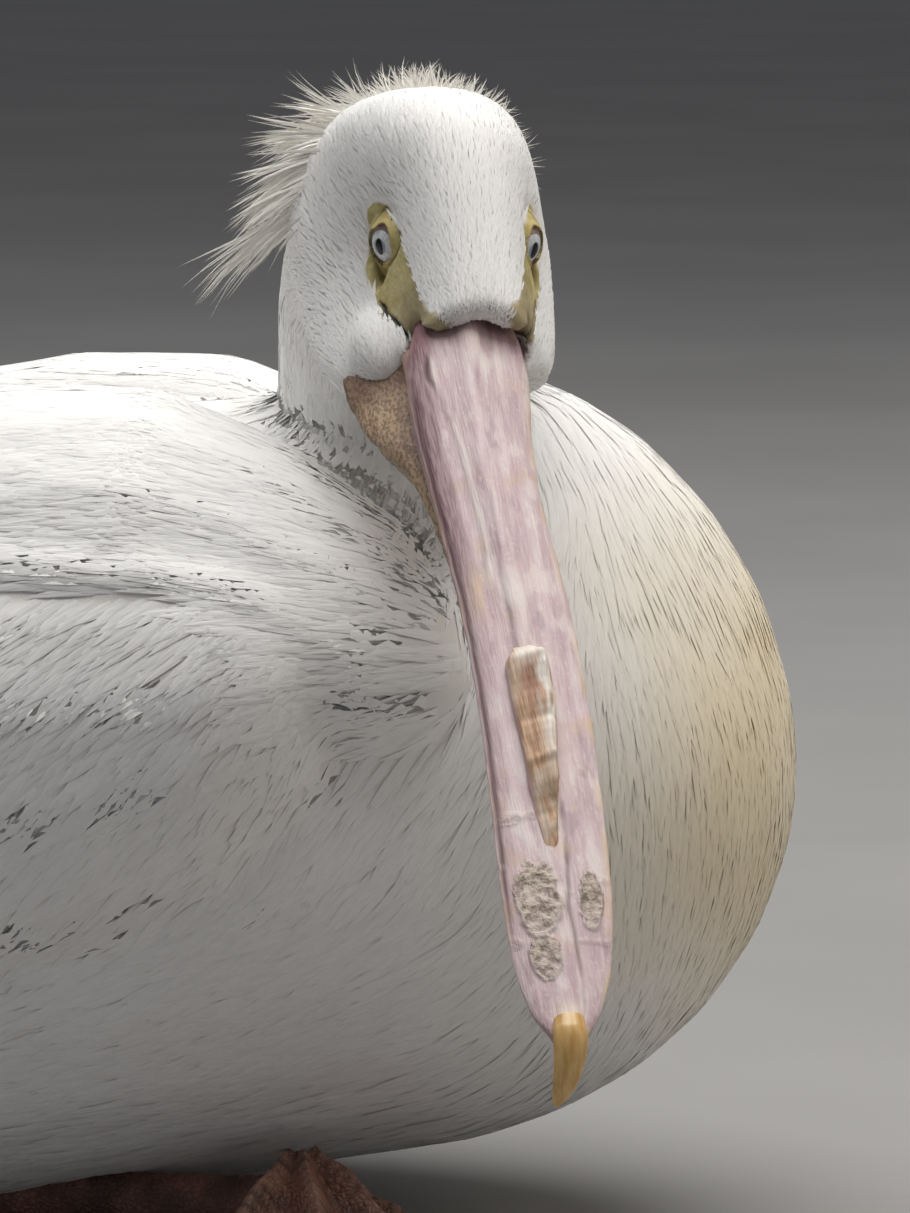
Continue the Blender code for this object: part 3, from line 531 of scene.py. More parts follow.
def bill_finish():
    """Bill horn: dull mauve-pink plates worn into pale fibres along the grain, with brown scurf."""
    finish, tree, shader = new_finish("bill_horn_worn", Specular_IOR_Level=0.35)
    vector, ahead = head_place(tree)
    grain = stretched(tree, vector, 0.07, 1.0, 1.0)
    # Horn fibres about 0.7 mm apart, and broad plates about 7 mm.
    fibre = clouds(tree, grain, 1400.0, 4.0)
    plate = clouds(tree, grain, 230.0, 4.0)
    blotch = clouds(tree, vector, 75.0, 5.0)
    chips = clouds(tree, vector, 700.0, 5.0)
    patch = stretched(tree, vector, 0.35, 1.0, 1.0)
    mottle = clouds(tree, patch, 150.0, 6.0)
    pink = mixed(tree, ranged(tree, plate, 0.36, 0.64), "B9A0A5", "D3C2C2")
    pink = mixed(tree, ranged(tree, blotch, 0.40, 0.62, 0.0, 0.5), pink, "C6A9AC")
    pink = mixed(tree, ranged(tree, mottle, 0.54, 0.64, 0.0, 0.6), pink, "DDD2CE")
    pink = mixed(tree, ranged(tree, mottle, 0.44, 0.34, 0.0, 0.5), pink, "A08890")
    pink = mixed(tree, ranged(tree, fibre, 0.52, 0.70, 0.0, 0.40), pink, "E6DCD5")
    pink = mixed(tree, ranged(tree, fibre, 0.42, 0.30, 0.0, 0.25), pink, "93737A")
    pink = mixed(tree, ranged(tree, chips, 0.60, 0.68, 0.0, 0.3), pink, "E6DCD2")
    pink = mixed(tree, ranged(tree, blotch, 0.58, 0.70, 0.0, 0.45), pink, "C7AD90")
    mauve = mixed(tree, ranged(tree, fibre, 0.4, 0.6), "86686F", "A58C8F")
    pink = mixed(tree, number(tree, "band"), pink, mauve)
    root = ranged(tree, ahead, 0.062, 0.044, 0.0, 0.6)
    pink = mixed(tree, root, pink, "7E4A54")
    pink = mixed(tree, number(tree, "pale"), pink, "E9E0D8")
    # Painted shade: the sunk lines along the blade are coloured dark.
    pink = mixed(tree, number(tree, "shaded_groove"), pink, "553A40")
    scurf = clouds(tree, vector, 420.0, 6.0)
    brown = mixed(tree, ranged(tree, scurf, 0.38, 0.58), "8A7A6F", "BDB0A2")
    pink = mixed(tree, number(tree, "scurf"), pink, brown)
    edge = mixed(tree, number(tree, "edge"), pink, "D3B98E")
    coloured(tree, shader, edge)
    rough = ranged(tree, fibre, 0.3, 0.7, 0.45, 0.68)
    tree.links.new(rough, shader.inputs["Roughness"])
    fine = relieved(tree, shader, fibre, 0.5, 0.0006)
    flakes = maths(tree, "MULTIPLY", scurf, number(tree, "scurf"))
    relieved(tree, shader, flakes, 0.9, 0.0018, fine)
    return finish


def ridge_finish():
    """The stub of the shed horn: coarse orange-brown fibres with a bleached crest and reddish-brown painted
    shade on its side.
    """
    finish, tree, shader = new_finish("shed_horn_stub", Roughness=0.62)
    vector, _ = head_place(tree)
    grain = stretched(tree, vector, 0.10, 1.0, 0.6)
    fibre = clouds(tree, grain, 900.0, 5.0)
    broad = clouds(tree, vector, 130.0, 3.0)
    colour = mixed(tree, ranged(tree, fibre, 0.35, 0.65), "A67F60", "C4A182")
    colour = mixed(tree, ranged(tree, broad, 0.5, 0.62, 0.0, 0.6), colour, "C2AE96")
    # Painted shade: reddish brown on the stub's side, below its crest.
    colour = mixed(tree, number(tree, "brown_shade"), colour, "8A5A44")
    colour = mixed(tree, number(tree, "pale"), colour, "E2DAD0")
    colour = mixed(tree, number(tree, "foot"), colour, "C2AAAB")
    coloured(tree, shader, colour)
    relieved(tree, shader, fibre, 0.6, 0.0008)
    return finish


def nail_finish():
    """The nail: smooth polished keratin, amber with a paler root."""
    finish, tree, shader = new_finish("nail_keratin", Roughness=0.34, Coat_Weight=0.25)
    vector, ahead = head_place(tree)
    grain = stretched(tree, vector, 0.15, 1.0, 0.4)
    fibre = clouds(tree, grain, 500.0, 3.0)
    amber = mixed(tree, ranged(tree, fibre, 0.3, 0.7), "C99C58", "DDB97C")
    root = ranged(tree, ahead, 0.331, 0.322, 0.0, 0.8)
    coloured(tree, shader, mixed(tree, root, amber, "E8D9B8"))
    relieved(tree, shader, fibre, 0.25, 0.0004)
    return finish


def pouch_finish():
    """Pouch skin: thin tan hide, drawn into fine folds, with dense dark freckles and an orange rim."""
    finish, tree, shader = new_finish("pouch_hide", Roughness=0.55, Specular_IOR_Level=0.35)
    vector, ahead = head_place(tree)
    folds = stretched(tree, vector, 0.55, 1.0, 1.0)
    net = clouds(tree, folds, 950.0, 5.0)
    broad = clouds(tree, vector, 110.0, 3.0)
    colour = mixed(tree, ranged(tree, broad, 0.35, 0.65), "8C7566", "AB917A")
    colour = mixed(tree, number(tree, "rim"), colour, "B1977A")
    colour = mixed(tree, ranged(tree, net, 0.46, 0.56, 0.0, 0.6), colour, "66524A")
    colour = mixed(tree, ranged(tree, ahead, 0.058, 0.046, 0.0, 0.5), colour, "5A4038")
    coloured(tree, shader, colour)
    relieved(tree, shader, net, 0.7, 0.0007)
    return finish


def eye_finish():
    """A wet eye: a pale blue-grey iris with radial fibres, a dark rim and an oval pupil."""
    wet = {"Coat_Weight": 0.12, "Coat_Roughness": 0.05, "Specular_IOR_Level": 0.2}
    finish, tree, shader = new_finish("wet_eye", Roughness=0.4, **wet)
    reach = number(tree, "reach")  # millimetres from the middle of the pupil, over the eyeball
    turned = {"W": number(tree, "around"), "Scale": 5.0, "Detail": 4.0}
    rays = add(tree, "TexNoise", turned, noise_dimensions="1D")
    iris = mixed(tree, ranged(tree, rays.outputs["Fac"], 0.3, 0.7), "CCD0D4", "EEF0F0")
    iris = mixed(tree, ranged(tree, reach, 3.0, 2.2), iris, "9AA6B4")
    rim = mixed(tree, ranged(tree, reach, 5.1, 5.5), iris, "8A878C")
    white = mixed(tree, ranged(tree, reach, 5.5, 6.0), rim, "B39C98")
    coloured(tree, shader, mixed(tree, number(tree, "pupil"), white, "06070A"))
    return finish


def foot_finish():
    """Foot skin: orange-brown scales, darker than their own orange as painted shade from the belly above,
    worn pale on their tops, with painted shade in the creases.
    """
    finish, tree, shader = new_finish("foot_scales", Roughness=0.5, Specular_IOR_Level=0.5)
    place = object_place(tree)
    scales = add(tree, "TexVoronoi", {"Vector": place, "Scale": 480.0}, feature="DISTANCE_TO_EDGE")
    grime = clouds(tree, place, 60.0, 5.0)
    # The foot's own orange is painted darker brown: painted shade for the belly's shadow over the feet.
    colour = mixed(tree, ranged(tree, grime, 0.35, 0.65), "4E322A", "84594A")
    # Painted shade in the creases between the scales.
    crease_shade = ranged(tree, scales.outputs["Distance"], 0.10, 0.0, 0.0, 0.65)
    colour = mixed(tree, crease_shade, colour, "33211C")
    colour = mixed(tree, number(tree, "worn"), colour, "9A7562")
    coloured(tree, shader, colour)
    relieved(tree, shader, scales.outputs["Distance"], 0.7, 0.0015)
    return finish


def claw_finish():
    """Claws: dark brown horn, rubbed smooth."""
    finish, tree, shader = new_finish("claw_horn_dark", Roughness=0.4)
    place = object_place(tree)
    wear = clouds(tree, place, 260.0, 3.0)
    coloured(tree, shader, mixed(tree, ranged(tree, wear, 0.35, 0.65), "3A2A20", "6B5444"))
    return finish


# ---------------------------------------------------------------- forms under the coat

BODY = form_of("body_form", ["trunk", "neck_base"], 4.5 * MM, 14)
# The cheek's plumes swell over the root of the pouch.
CHEEK = (np.array([0.0290, -0.0245, -0.0185]), np.array([0.0170, 0.0108, 0.0105]))
NECK = form_of("neck_form", ["neck_upper", "head"], 2.0 * MM, 8, swellings=[CHEEK])
SIGN = {"right": -1, "left": 1}
SIDES = tuple(SIGN)
WING_PARTS = ("coverts", "secondaries", "primaries")
SCAPULARS = {s: form_of(f"scapular_form_{s}", [f"scapulars_{s}"], 2.6 * MM, 14) for s in SIDES}
WINGS = {s: form_of(f"wing_form_{s}", [f"wing_{s}_{p}" for p in WING_PARTS], 2.4 * MM, 12) for s in SIDES}
TAIL = form_of("tail_form", ["tail"], 2.5 * MM, 4)


def distance_to(points, form):
    """How far each point is from a form's surface."""
    return np.linalg.norm(points - settle(points, form)[0], axis=1)


def shingle(a, b, long, wide):
    """Height from 0 to 1 of overlapping rounded feathers: a runs along them and b across, row on row."""
    best = np.zeros(len(a))
    for parity in (0, 1):
        v = b / wide + 0.5 * parity
        across = 2 * (v - np.floor(v) - 0.5)
        u = a / long + parity + 0.55 * across**2 + 0.31 * np.sin(np.floor(v) * 12.9)
        best = np.maximum(best, (u / 2 - np.floor(u / 2)))
    return best


def body_relief(points):
    """How far the overlapping feathers of the body stand over its smooth form."""
    x, y, z = points.T
    jitter = noise(points, 25 * MM, 8) * 8 * MM
    arc = np.arctan2(z - 0.13, np.abs(y)) * 0.12
    cell = shingle(-x + jitter, arc + jitter * 0.6, 32 * MM, 24 * MM)
    return (0.4 - 0.2 * ease(0.19, 0.27, x)) * MM * cell


SCAPULAR_CLEAR = 4.2 * MM
WING_CLEAR = 2.8 * MM
WING_SUNK = 3.0 * MM  # how deep the wing lies beside the shoulder's feathers


def scapular_edge(side):
    """How far the shoulder's lowest feathers stand clear of the wing."""

    def edge(points):
        near = ease(14 * MM, 4 * MM, distance_to(points, WINGS[side]))
        return SCAPULAR_CLEAR * near * ease(0.21, 0.17, points[:, 0])

    return edge


def wing_edge(points):
    """How far the wing's lower edge stands off the flank."""
    return WING_CLEAR * ease(13 * MM, 4 * MM, distance_to(points, BODY)) * ease(0.20, 0.16, points[:, 2])


def scapular_relief(side):
    """The shoulder's long feathers, row on row."""

    def relief(points):
        x, y, z = points.T
        jitter = noise(points, 22 * MM, 9) * 9 * MM
        cell = shingle(-x + jitter, (np.abs(y) - z) * 0.8 + jitter * 0.5, 34 * MM, 17 * MM)
        return 1.1 * MM * cell + scapular_edge(side)(points)

    return relief


def wing_relief(side):
    """The wing's coverts, small in front and long behind, sunk a little under the shoulder's feathers."""

    def relief(points):
        x, _, z = points.T
        jitter = noise(points, 26 * MM, 12) * 10 * MM
        front = ease(-0.06, 0.10, x)
        a = -x * (1 - 0.3 * front) - z * 0.7 * front
        b = z * (1 - 0.3 * front) - x * 0.7 * front
        cell = shingle(a + jitter, b + jitter * 0.5, 34 * MM, 21 * MM)
        under = ease(7 * MM, 2 * MM, distance_to(points, SCAPULARS[side])) * ease(0.17, 0.14, x)
        return (0.5 + 0.7 * (1 - front)) * MM * cell + wing_edge(points) - WING_SUNK * under

    return relief


# The bare skin round each eye, in the head's axes: its upper edge meets the feathers of the forehead
# and its lower edge those of the cheek.
BARE_UPPER = (
    (-10.0, 5.0),
    (-9.0, 8.6),
    (-7.0, 10.2),
    (-3.7, 10.8),
    (4.0, 10.3),
    (12.3, 8.6),
    (23.2, 6.5),
    (36.3, 5.4),
    (41.0, 6.4),
    (44.0, 8.0),
    (52.0, 10.0),
)
BARE_LOWER = (
    (-10.0, 5.0),
    (-8.4, 2.0),
    (-3.5, -3.9),
    (2.7, -8.8),
    (10.0, -11.0),
    (15.0, -11.2),
    (20.8, -10.3),
    (24.2, -9.7),
    (28.7, -8.6),
    (33.4, -8.1),
    (37.9, -8.3),
    (52.0, -9.0),
)
# The corner of the mouth: a slit from the bill back into the cheek, sunk into the skin and coloured
# near-black as painted shade.
SLIT = ((18.0, -9.0), (24.2, -8.4), (28.7, -7.3), (33.4, -6.8), (37.9, -7.0), (46.0, -8.0))


def inside_bare(head_points):
    """Millimetres inside the edge of the bare skin; below zero under feathers."""
    x = head_points[:, 0] / MM
    z = (head_points[:, 2] + FACE_ROLL * head_points[:, 1]) / MM
    upper = np.interp(x, *np.array(BARE_UPPER).T)
    lower = np.interp(x, *np.array(BARE_LOWER).T)
    # The forehead's tongue of plumes is narrower on the bird's left.
    upper = upper + 3.8 * ease(8, 40, x) * (head_points[:, 1] > 0)
    depth = np.minimum(upper - z, z - lower)
    depth = np.where(x < BARE_UPPER[0][0], np.minimum(depth, x - BARE_UPPER[0][0]), depth)
    beside = np.abs(head_points[:, 1]) / MM - 9.0
    return np.minimum(depth, beside)


GAZE_FORWARD = {-1: math.radians(33.0), 1: math.radians(46.0)}
GAZE_UP = math.radians(8.0)
LIDS_FORWARD = {-1: math.radians(34.0), 1: math.radians(40.0)}
LIDS_UP = math.radians(14.0)
LID_THICKNESS = 1.1 * MM
OPENING_HALF_LENGTH = 6.2 * MM  # from top to bottom, as the level head shows it
OPENING_HALF_WIDTH = 4.0 * MM


def eye_frame(sign, ahead, rise):
    """Axes of an eye in the head's axes: outwards, towards the bill's tip, and across; and its centre."""
    out = np.array(
        [math.sin(ahead) * math.cos(rise), sign * math.cos(ahead) * math.cos(rise), math.sin(rise)]
    )
    down = np.array([math.sin(HEAD_PITCH), 0.0, -math.cos(HEAD_PITCH)])
    down = unit(down - out * (down @ out))
    side = sign * EYE_SIDE
    return out, down, np.cross(out, down), np.array([0.0, side, EYE_RISE - FACE_ROLL * side])


def behind_lids(angle):
    """The share of its radius that the eyeball keeps at an angle from its front, less behind the lids."""
    return 1 - 0.20 * ease(1.0, 1.4, angle)


def lids(head_points):
    """Where the skin goes round the eyes, and how many openings away from the eye's middle it is.

    Seen along the eye's own axis a point keeps its place, and only its height changes. Within the opening
    it goes behind the eye's surface. Round it the skin is a dome, a lid's thickness over the eyeball,
    whose foot slopes into the face.
    """
    points = head_points.copy()
    reach = np.full(len(points), 9.0)
    over = EYE_RADIUS + LID_THICKNESS
    foot = 0.78 * over
    slope = foot / math.sqrt(over**2 - foot**2)
    for sign in (-1, 1):
        out, down, across, centre = eye_frame(sign, LIDS_FORWARD[sign], LIDS_UP)
        across = across * sign  # towards the bill
        ray = head_points - centre
        side, along_lids, high = (ray @ axis for axis in (across, down, out))
        far = np.hypot(side, along_lids)
        dome = np.sqrt(over**2 - np.minimum(far, foot) ** 2) - np.maximum(far - foot, 0) * slope
        t = along_lids / OPENING_HALF_LENGTH
        # The corner towards the bill is drawn down to a point, and the opening narrows above.
        s = side / OPENING_HALF_WIDTH - 0.42 * np.clip(t, -0.3, 1.2)
        wide = 1 - 0.42 * np.clip(t, 0, 1) ** 2 - 0.12 * np.clip(-t, 0, 1)
        away = np.sqrt((s / wide) ** 2 + np.where(t > 0, t * 0.92, t) ** 2)
        near = ease(2.2, 1.6, far / EYE_RADIUS) * (high > -0.6 * EYE_RADIUS)
        below = np.clip(t, 0, 1)
        fold = 0.40 * MM * np.sin((away - 1.25) * 8.0) * ease(1.2, 1.4, away) * ease(2.6, 1.7, away) * below
        face = high - dome
        face = 0.5 * (face + np.sqrt(face**2 + (0.8 * MM) ** 2)) * ease(1.2, 2.4, away)
        rim = dome + face + fold + 0.4 * MM * bump(away, 1.14, 0.10)
        inner = np.sqrt(np.maximum((EYE_RADIUS - 2 * MM) ** 2 - far**2, MM**2))
        target = inner + (rim - inner) * ease(0.90, 1.04, away)
        points += out * ((target - high) * near)[:, None]
        reach = np.where(near > 0, np.minimum(reach, away), reach)
    return points, reach


def make_skin():
    """One skin round all the flesh: the forms joined, sunk by the coat's depth, with lids and folds."""
    work = bmesh.new()
    covered = [(NECK, None), (BODY, body_relief)]
    covered += [(SCAPULARS[side], scapular_relief(side)) for side in SIDES]
    covered += [(WINGS[side], wing_relief(side)) for side in SIDES]
    for form, relief in covered:
        risen = form.data.copy()
        points = positions(risen)
        if relief:
            points = points + directions(risen) * relief(points)[:, None]
        # The skin ends with the flesh: behind the coverts only feathers go on.
        wing = form in WINGS.values()
        points[:, 0] = np.maximum(points[:, 0], WING_FLESH_END) if wing else points[:, 0]
        move_to(risen, points)
        work.from_mesh(risen)
        bpy.data.meshes.remove(risen)
    mesh = bpy.data.meshes.new("skin")
    work.to_mesh(mesh)
    work.free()
    skin = remeshed(shown("skin_form", mesh), SKIN_VOXEL, 3)
    refine_face(skin.data)
    points = positions(skin.data)
    onto, _ = settle(points, NECK)
    on_head = ease(9 * MM, 4 * MM, np.linalg.norm(points - onto, axis=1))
    on_head *= ease(0.245, 0.262, points[:, 2])
    points += (onto - points) * on_head[:, None]
    places = to_head(points)
    bare = ease(-0.4, 0.5, inside_bare(places)) * on_head
    depth = BODY_COAT + (HEAD_COAT - BODY_COAT) * on_head
    depth = depth * (1 - bare) + 0.3 * MM * bare
    points -= directions(skin.data) * depth[:, None]
    points[:, 2] = np.maximum(points[:, 2], LOWEST)
    places = to_head(points)
    moved, reach = lids(places)
    places = places + (moved - places) * on_head[:, None]
    # The mouth's corner, sunk into the skin and painted dark as shade.
    shaded_slit = slit_share(places) * bare
    wrinkle = noise(places * np.array([1.0, 1.0, 2.4]), 2.2 * MM, 5) * 0.16 * MM * bare * (reach > 1.3)
    sideways = unit(places * np.array([0.0, 1.0, 0.0]))
    places += sideways * (wrinkle - shaded_slit * 1.6 * MM)[:, None]
    bare = ease(-0.4, 0.5, inside_bare(places)) * on_head
    move_to(skin.data, from_head(places))
    # The troughs of the folds round the eyes, which the material darkens as painted shade.
    folded = ease(0.25, 0.9, -np.sin((reach - 1.25) * 8.0)) * ease(1.2, 1.4, reach) * ease(2.4, 1.7, reach)
    set_number(skin.data, "bare", bare)
    set_number(skin.data, "lid", reach)
    set_number(skin.data, "shaded_slit", shaded_slit)
    set_number(skin.data, "crease_shade", folded * 0.7)
    set_vector(skin.data, "head_place", places)
    skin.data.shade_smooth()
    flesh = ["trunk", "neck_base", "neck_upper", "head", "scapulars_left", "scapulars_right"]
    flesh += [f"wing_{side}_coverts" for side in SIDES]
    piece = add_piece("skin", skin.data, skin_finish(), "plumage", *flesh)
    bpy.data.objects.remove(skin)
    return piece


WING_FLESH_END = -0.17


def slit_share(places):
    """1 on the line of the mouth's corner, falling to 0 within a millimetre."""
    x, z = places[:, 0] / MM, places[:, 2] / MM
    line = np.interp(x, *np.array(SLIT).T)
    width = 0.85 * ease(SLIT[0][0] - 1, SLIT[0][0] + 3, x)
    return bump(z, line, np.maximum(width, 0.05)) * (x > SLIT[0][0] - 1)


def refine_face(mesh):
    """Splits the faces round each eye three times and those of the bare skin twice."""
    work = bmesh.new()
    work.from_mesh(mesh)
    centres = [Vector(from_head(np.array([[0.002, sign * 0.023, 0.002]]))[0]) for sign in (-1, 1)]
    lower = [Vector(from_head(np.array([[0.026, sign * 0.021, -0.003]]))[0]) for sign in (-1, 1)]
    for radius in (0.026, 0.019, 0.0165):
        chosen = [
            edge
            for edge in work.edges
            if min((edge.verts[0].co - c).length for c in centres + lower[: 2 * (radius > 0.017)]) < radius
        ]
        bmesh.ops.subdivide_edges(work, edges=chosen, cuts=1, use_grid_fill=True, smooth=0.0)
    bmesh.ops.triangulate(work, faces=[f for f in work.faces if len(f.verts) > 4])
    work.to_mesh(mesh)
    work.free()


# ---------------------------------------------------------------- tufts and vanes


def scatter(surface, count, weight):
    """Points spread over a surface by area times a weight for each triangle's centre and direction."""
    mesh = surface.data
    mesh.calc_loop_triangles()
    corners = np.empty(len(mesh.loop_triangles) * 3, np.int32)
    mesh.loop_triangles.foreach_get("vertices", corners)
    a, b, c = positions(mesh)[corners.reshape(-1, 3)].transpose(1, 0, 2)
    cross = np.cross(b - a, c - a)
    share = np.linalg.norm(cross, axis=1) * weight((a + b + c) / 3, unit(cross))
    total = np.cumsum(share)
    chosen = np.searchsorted(total, (np.arange(count) + RANDOM.random(count)) / count * total[-1])
    chosen = np.minimum(chosen, len(total) - 1)
    s, t = RANDOM.random(count), RANDOM.random(count)
    over = s + t > 1
    s, t = np.where(over, 1 - s, s), np.where(over, 1 - t, t)
    return a[chosen] + (b - a)[chosen] * s[:, None] + (c - a)[chosen] * t[:, None]


def comb(surface, roots, flow, length, steps, stray):
    """Carries each root over the surface along the flow: its places and outward directions, step by step.

    A step that would turn round an edge of the surface goes straight on instead, so that vanes
    overhang the edge, and what has left the surface stays off it. Each step keeps some of the one before,
    so a vane doesn't double back where the flow runs into the surface. The third result is True for
    the vanes that keep flat and straight enough to use.
    """
    here, out = settle(roots, surface)
    places, outs = [here], [out]
    turn = RANDOM.normal(0, stray, len(roots))[:, None]
    stride = (length / steps)[:, None]
    before = np.zeros_like(here)
    off = np.zeros(len(here), bool)
    for _ in range(steps):
        way = unit(flow(here)) + 0.5 * before
        before = unit(way - out * (way * out).sum(-1, keepdims=True))
        way = before * np.cos(turn) + np.cross(out, before) * np.sin(turn)
        ahead = here + way * stride
        landed, faced = settle(ahead, surface)
        off |= ((faced * out).sum(-1) < 0.6) | (np.linalg.norm(landed - ahead, axis=1) > 0.7 * stride[:, 0])
        here = np.where(off[:, None], ahead, landed)
        out = np.where(off[:, None], out, faced)
        places.append(here)
        outs.append(out)
    places, outs = np.stack(places, 1), np.stack(outs, 1)
    for _ in range(4):
        mean = outs[:, :-1] + outs[:, 1:]
        outs[:, 1:-1] = unit(mean[:, :-1] + mean[:, 1:])
        outs[:, 0] = unit(outs[:, 0] + outs[:, 1])
        outs[:, -1] = unit(outs[:, -1] + outs[:, -2])
    flat = ((outs[:, 1:] * outs[:, :-1]).sum(-1) > 0.70).all(1)
    ways = unit(np.diff(places, axis=1))
    straight = ((ways[:, 1:] * ways[:, :-1]).sum(-1) > 0.70).all(1)
    return places, outs, flat & straight


def heights(places, relief, depth, high):
    """How far each vane's places stand over the skin, with its root tucked under it.

    Where the relief falls away under a vane, the vane keeps its level. It comes out of the skin
    with the cube of what is left of its length.
    """
    count, stations = places.shape[:2]
    t = np.linspace(0, 1, stations)
    own = relief(places.reshape(-1, 3)).reshape(count, stations)
    lead = np.maximum.accumulate(own, axis=1) - own
    rise = (depth + high)[:, None]
    return lead + rise - (rise + TUCK) * (1 - t) ** 3


PATCH = 0.003  # each feather's share of the unwrap, at its root
MOST_TRIANGLES = 195000  # in one piece of the coat
ROLL = 0.15  # how far a vane's edges turn from the coat's own direction, for the light


def vanes(name, places, outs, width, height, finish, slot, unwrap, tone, nodes=()):
    """Thin closed vanes along combed spines, as one mesh or several of under 200,000 triangles.

    A vane's section is a flat triangle: two edges and a raised midrib. Its width swells from the root
    and narrows to a point at the tip. Height is how far each of its places stands over the form.
    """
    count, stations = places.shape[:2]
    t = np.linspace(0, 1, stations)
    swell = (0.25 + 0.75 * ease(0.0, 0.45, t)) * (1 - t**1.6) ** 0.8
    along_way = unit(np.gradient(places, axis=1))
    side = unit(np.cross(outs, along_way))
    middle = places + outs * height[..., None]
    middle[..., 2] = np.maximum(middle[..., 2], LOWEST)
    half = (0.5 * width[:, None] * swell)[..., None]
    thick = np.maximum(0.03 * half, 0.05 * MM)
    rings = np.stack([middle - side * half, middle + outs * thick, middle + side * half], 2)[:, :-1]
    rings[..., 2] = np.maximum(rings[..., 2], 0.5 * LOWEST)
    tip = middle[:, -1:, None, :].reshape(count, 1, 3)
    points = np.concatenate([rings.reshape(count, -1, 3), tip], 1)
    # The barbs at a vane's edges melt into those beside them, so the light takes it for part of the coat.
    facing = np.stack([unit(outs - side * ROLL), outs, unit(outs + side * ROLL)], 2)[:, :-1]
    facing = np.concatenate([facing.reshape(count, -1, 3), outs[:, -1:]], 1)
    each = points.shape[1]
    rows = np.arange(stations - 2)[:, None] * 3
    ring = [rows + k for k in (0, 1, 2)]
    strips = [(ring[0], ring[1]), (ring[1], ring[2]), (ring[2], ring[0])]  # the last one is the underside
    quads = np.concatenate([np.stack([a, a + 3, b + 3, b], -1).reshape(-1, 4) for a, b in strips])
    last = (stations - 2) * 3
    tip = each - 1
    ends = np.array([[last, tip, last + 1], [last + 1, tip, last + 2], [last + 2, tip, last], [0, 1, 2]])
    s = np.array([-1.0, 0.0, 1.0])
    ts = np.concatenate([np.repeat(t[:-1], 3), [1.0]])
    ss = np.concatenate([np.tile(s, stations - 1) * np.repeat(swell[:-1], 3), [0.0]])
    root_uv = unwrap(places[:, 0])
    triangles = (len(quads) * 2 + len(ends)) * count
    parts = max(1, math.ceil(triangles / MOST_TRIANGLES))
    for part in range(parts):
        chosen = np.arange(part, count, parts)
        step = (np.arange(len(chosen)) * each)[:, None, None]
        faces = [(quads + step).reshape(-1, 4), (ends + step).reshape(-1, 3)]
        mesh = build_mesh(name, points[chosen].reshape(-1, 3), faces)
        upper = 2 * len(quads) // 3
        normals = np.zeros((len(chosen), len(quads), 4, 3))
        normals[:, :upper] = facing[chosen][:, quads[:upper]]
        closing = np.zeros((len(chosen), len(ends), 3, 3))
        closing[:, :2] = facing[chosen][:, ends[:2]]
        normals = np.concatenate([normals.reshape(-1, 3), closing.reshape(-1, 3)])
        mesh.normals_split_custom_set(normals.astype(np.float32))
        patch = np.stack([ss * 0.5, ts - 0.5], -1) * PATCH
        set_uv(mesh, "OFBake", (root_uv[chosen][:, None] + patch).reshape(-1, 2))
        lie = rows_of(ss * width[chosen][:, None] * 50, ts * 3)
        lie += RANDOM.random((len(chosen), 1, 2)) * 40
        set_uv(mesh, "Vane", lie.reshape(-1, 2))
        set_number(mesh, "tone", np.repeat(tone[chosen], each))
        # How far along each vane a point lies; the material paints shade towards the root from it.
        set_number(mesh, "out", np.tile(ts, len(chosen)))
        label = name if parts == 1 else f"{name}_{part + 1}"
        add_piece(label, mesh, finish, slot, *(nodes if part == 0 else ()))


def around(centre_y, centre_z, low, high):
    """An unwrap of a long form: the way along X, and the turn round a level line through it."""

    def unwrap(points):
        u = (points[:, 0] - low) / (high - low)
        v = np.arctan2(points[:, 2] - centre_z, points[:, 1] - centre_y) / (2 * math.pi) + 0.5
        return np.stack([u, v], -1) * 0.96 + 0.02

    return unwrap


FRINGE_ROOTS = 700
SKIRT_ROOTS = 2300
TAIL_ROOTS = 1500
WISPS = 2300  # in the crest
ROUND_BODY = around(0, 0.13, -0.28, 0.34)
ROUND_TAIL = around(0, 0.13, -0.38, -0.2)


def round_head(points):
    """An unwrap of the head and neck: the way along the head's axis, and the turn round it."""
    q = to_head(points)
    u = (q[:, 0] + 0.16) / 0.26
    v = np.arctan2(q[:, 2] + 0.01, q[:, 1]) / (2 * math.pi) + 0.5
    return np.stack([u, v], -1) * 0.96 + 0.02


def head_flow(points):
    """From the bill back over the crown and cheeks, then down the neck."""
    q = to_head(points)
    turn = ease(-0.030, -0.075, q[:, 0])[:, None]
    low = ease(-0.030, -0.060, q[:, 2])[:, None]
    turn = np.maximum(turn, low)
    cheek = (ease(0.0, -0.03, q[:, 2]) * ease(0.05, 0.0, q[:, 0]))[:, None]
    back = -FORWARD - UP * 0.55 * cheek
    return back * (1 - turn) + DOWN * turn


def body_flow(points):
    """Down the front of the breast and round the neck, back along the flanks, a little downwards."""
    x, z = points[:, 0], points[:, 2]
    near_neck = ease(0.11, 0.06, np.hypot(x - 0.215, points[:, 1] + 0.005)) * ease(0.20, 0.25, z)
    front = np.maximum(ease(0.232, 0.290, x), near_neck * ease(0.15, 0.20, x))[:, None]
    fall = 0.42 * ease(0.02, 0.10, z) * ease(0.24, 0.18, z)
    fall += 0.9 * ease(0.13, 0.19, x) * ease(0.10, 0.14, z) * ease(0.24, 0.21, z)
    back = rows_of(-1, 0, -fall)
    return DOWN * front + back * (1 - front)


def wing_flow(points):
    """Down and back from the wing's front edge, turning level towards the tip."""
    front = ease(-0.10, 0.10, points[:, 0])
    fall = 0.16 + 0.80 * front
    return rows_of(-1, 0, -fall)


def scapular_flow(points):
    """Back along the shoulder, with the outer plumes leaning down over the wing."""
    lean = 0.06 + 0.10 * ease(0.23, 0.19, points[:, 2])
    return rows_of(-1, 0, -lean)


def tail_flow(points):
    """Back and outwards from the rump, as the fan spreads."""
    return rows_of(-1, points[:, 1] * 3.0, 0)


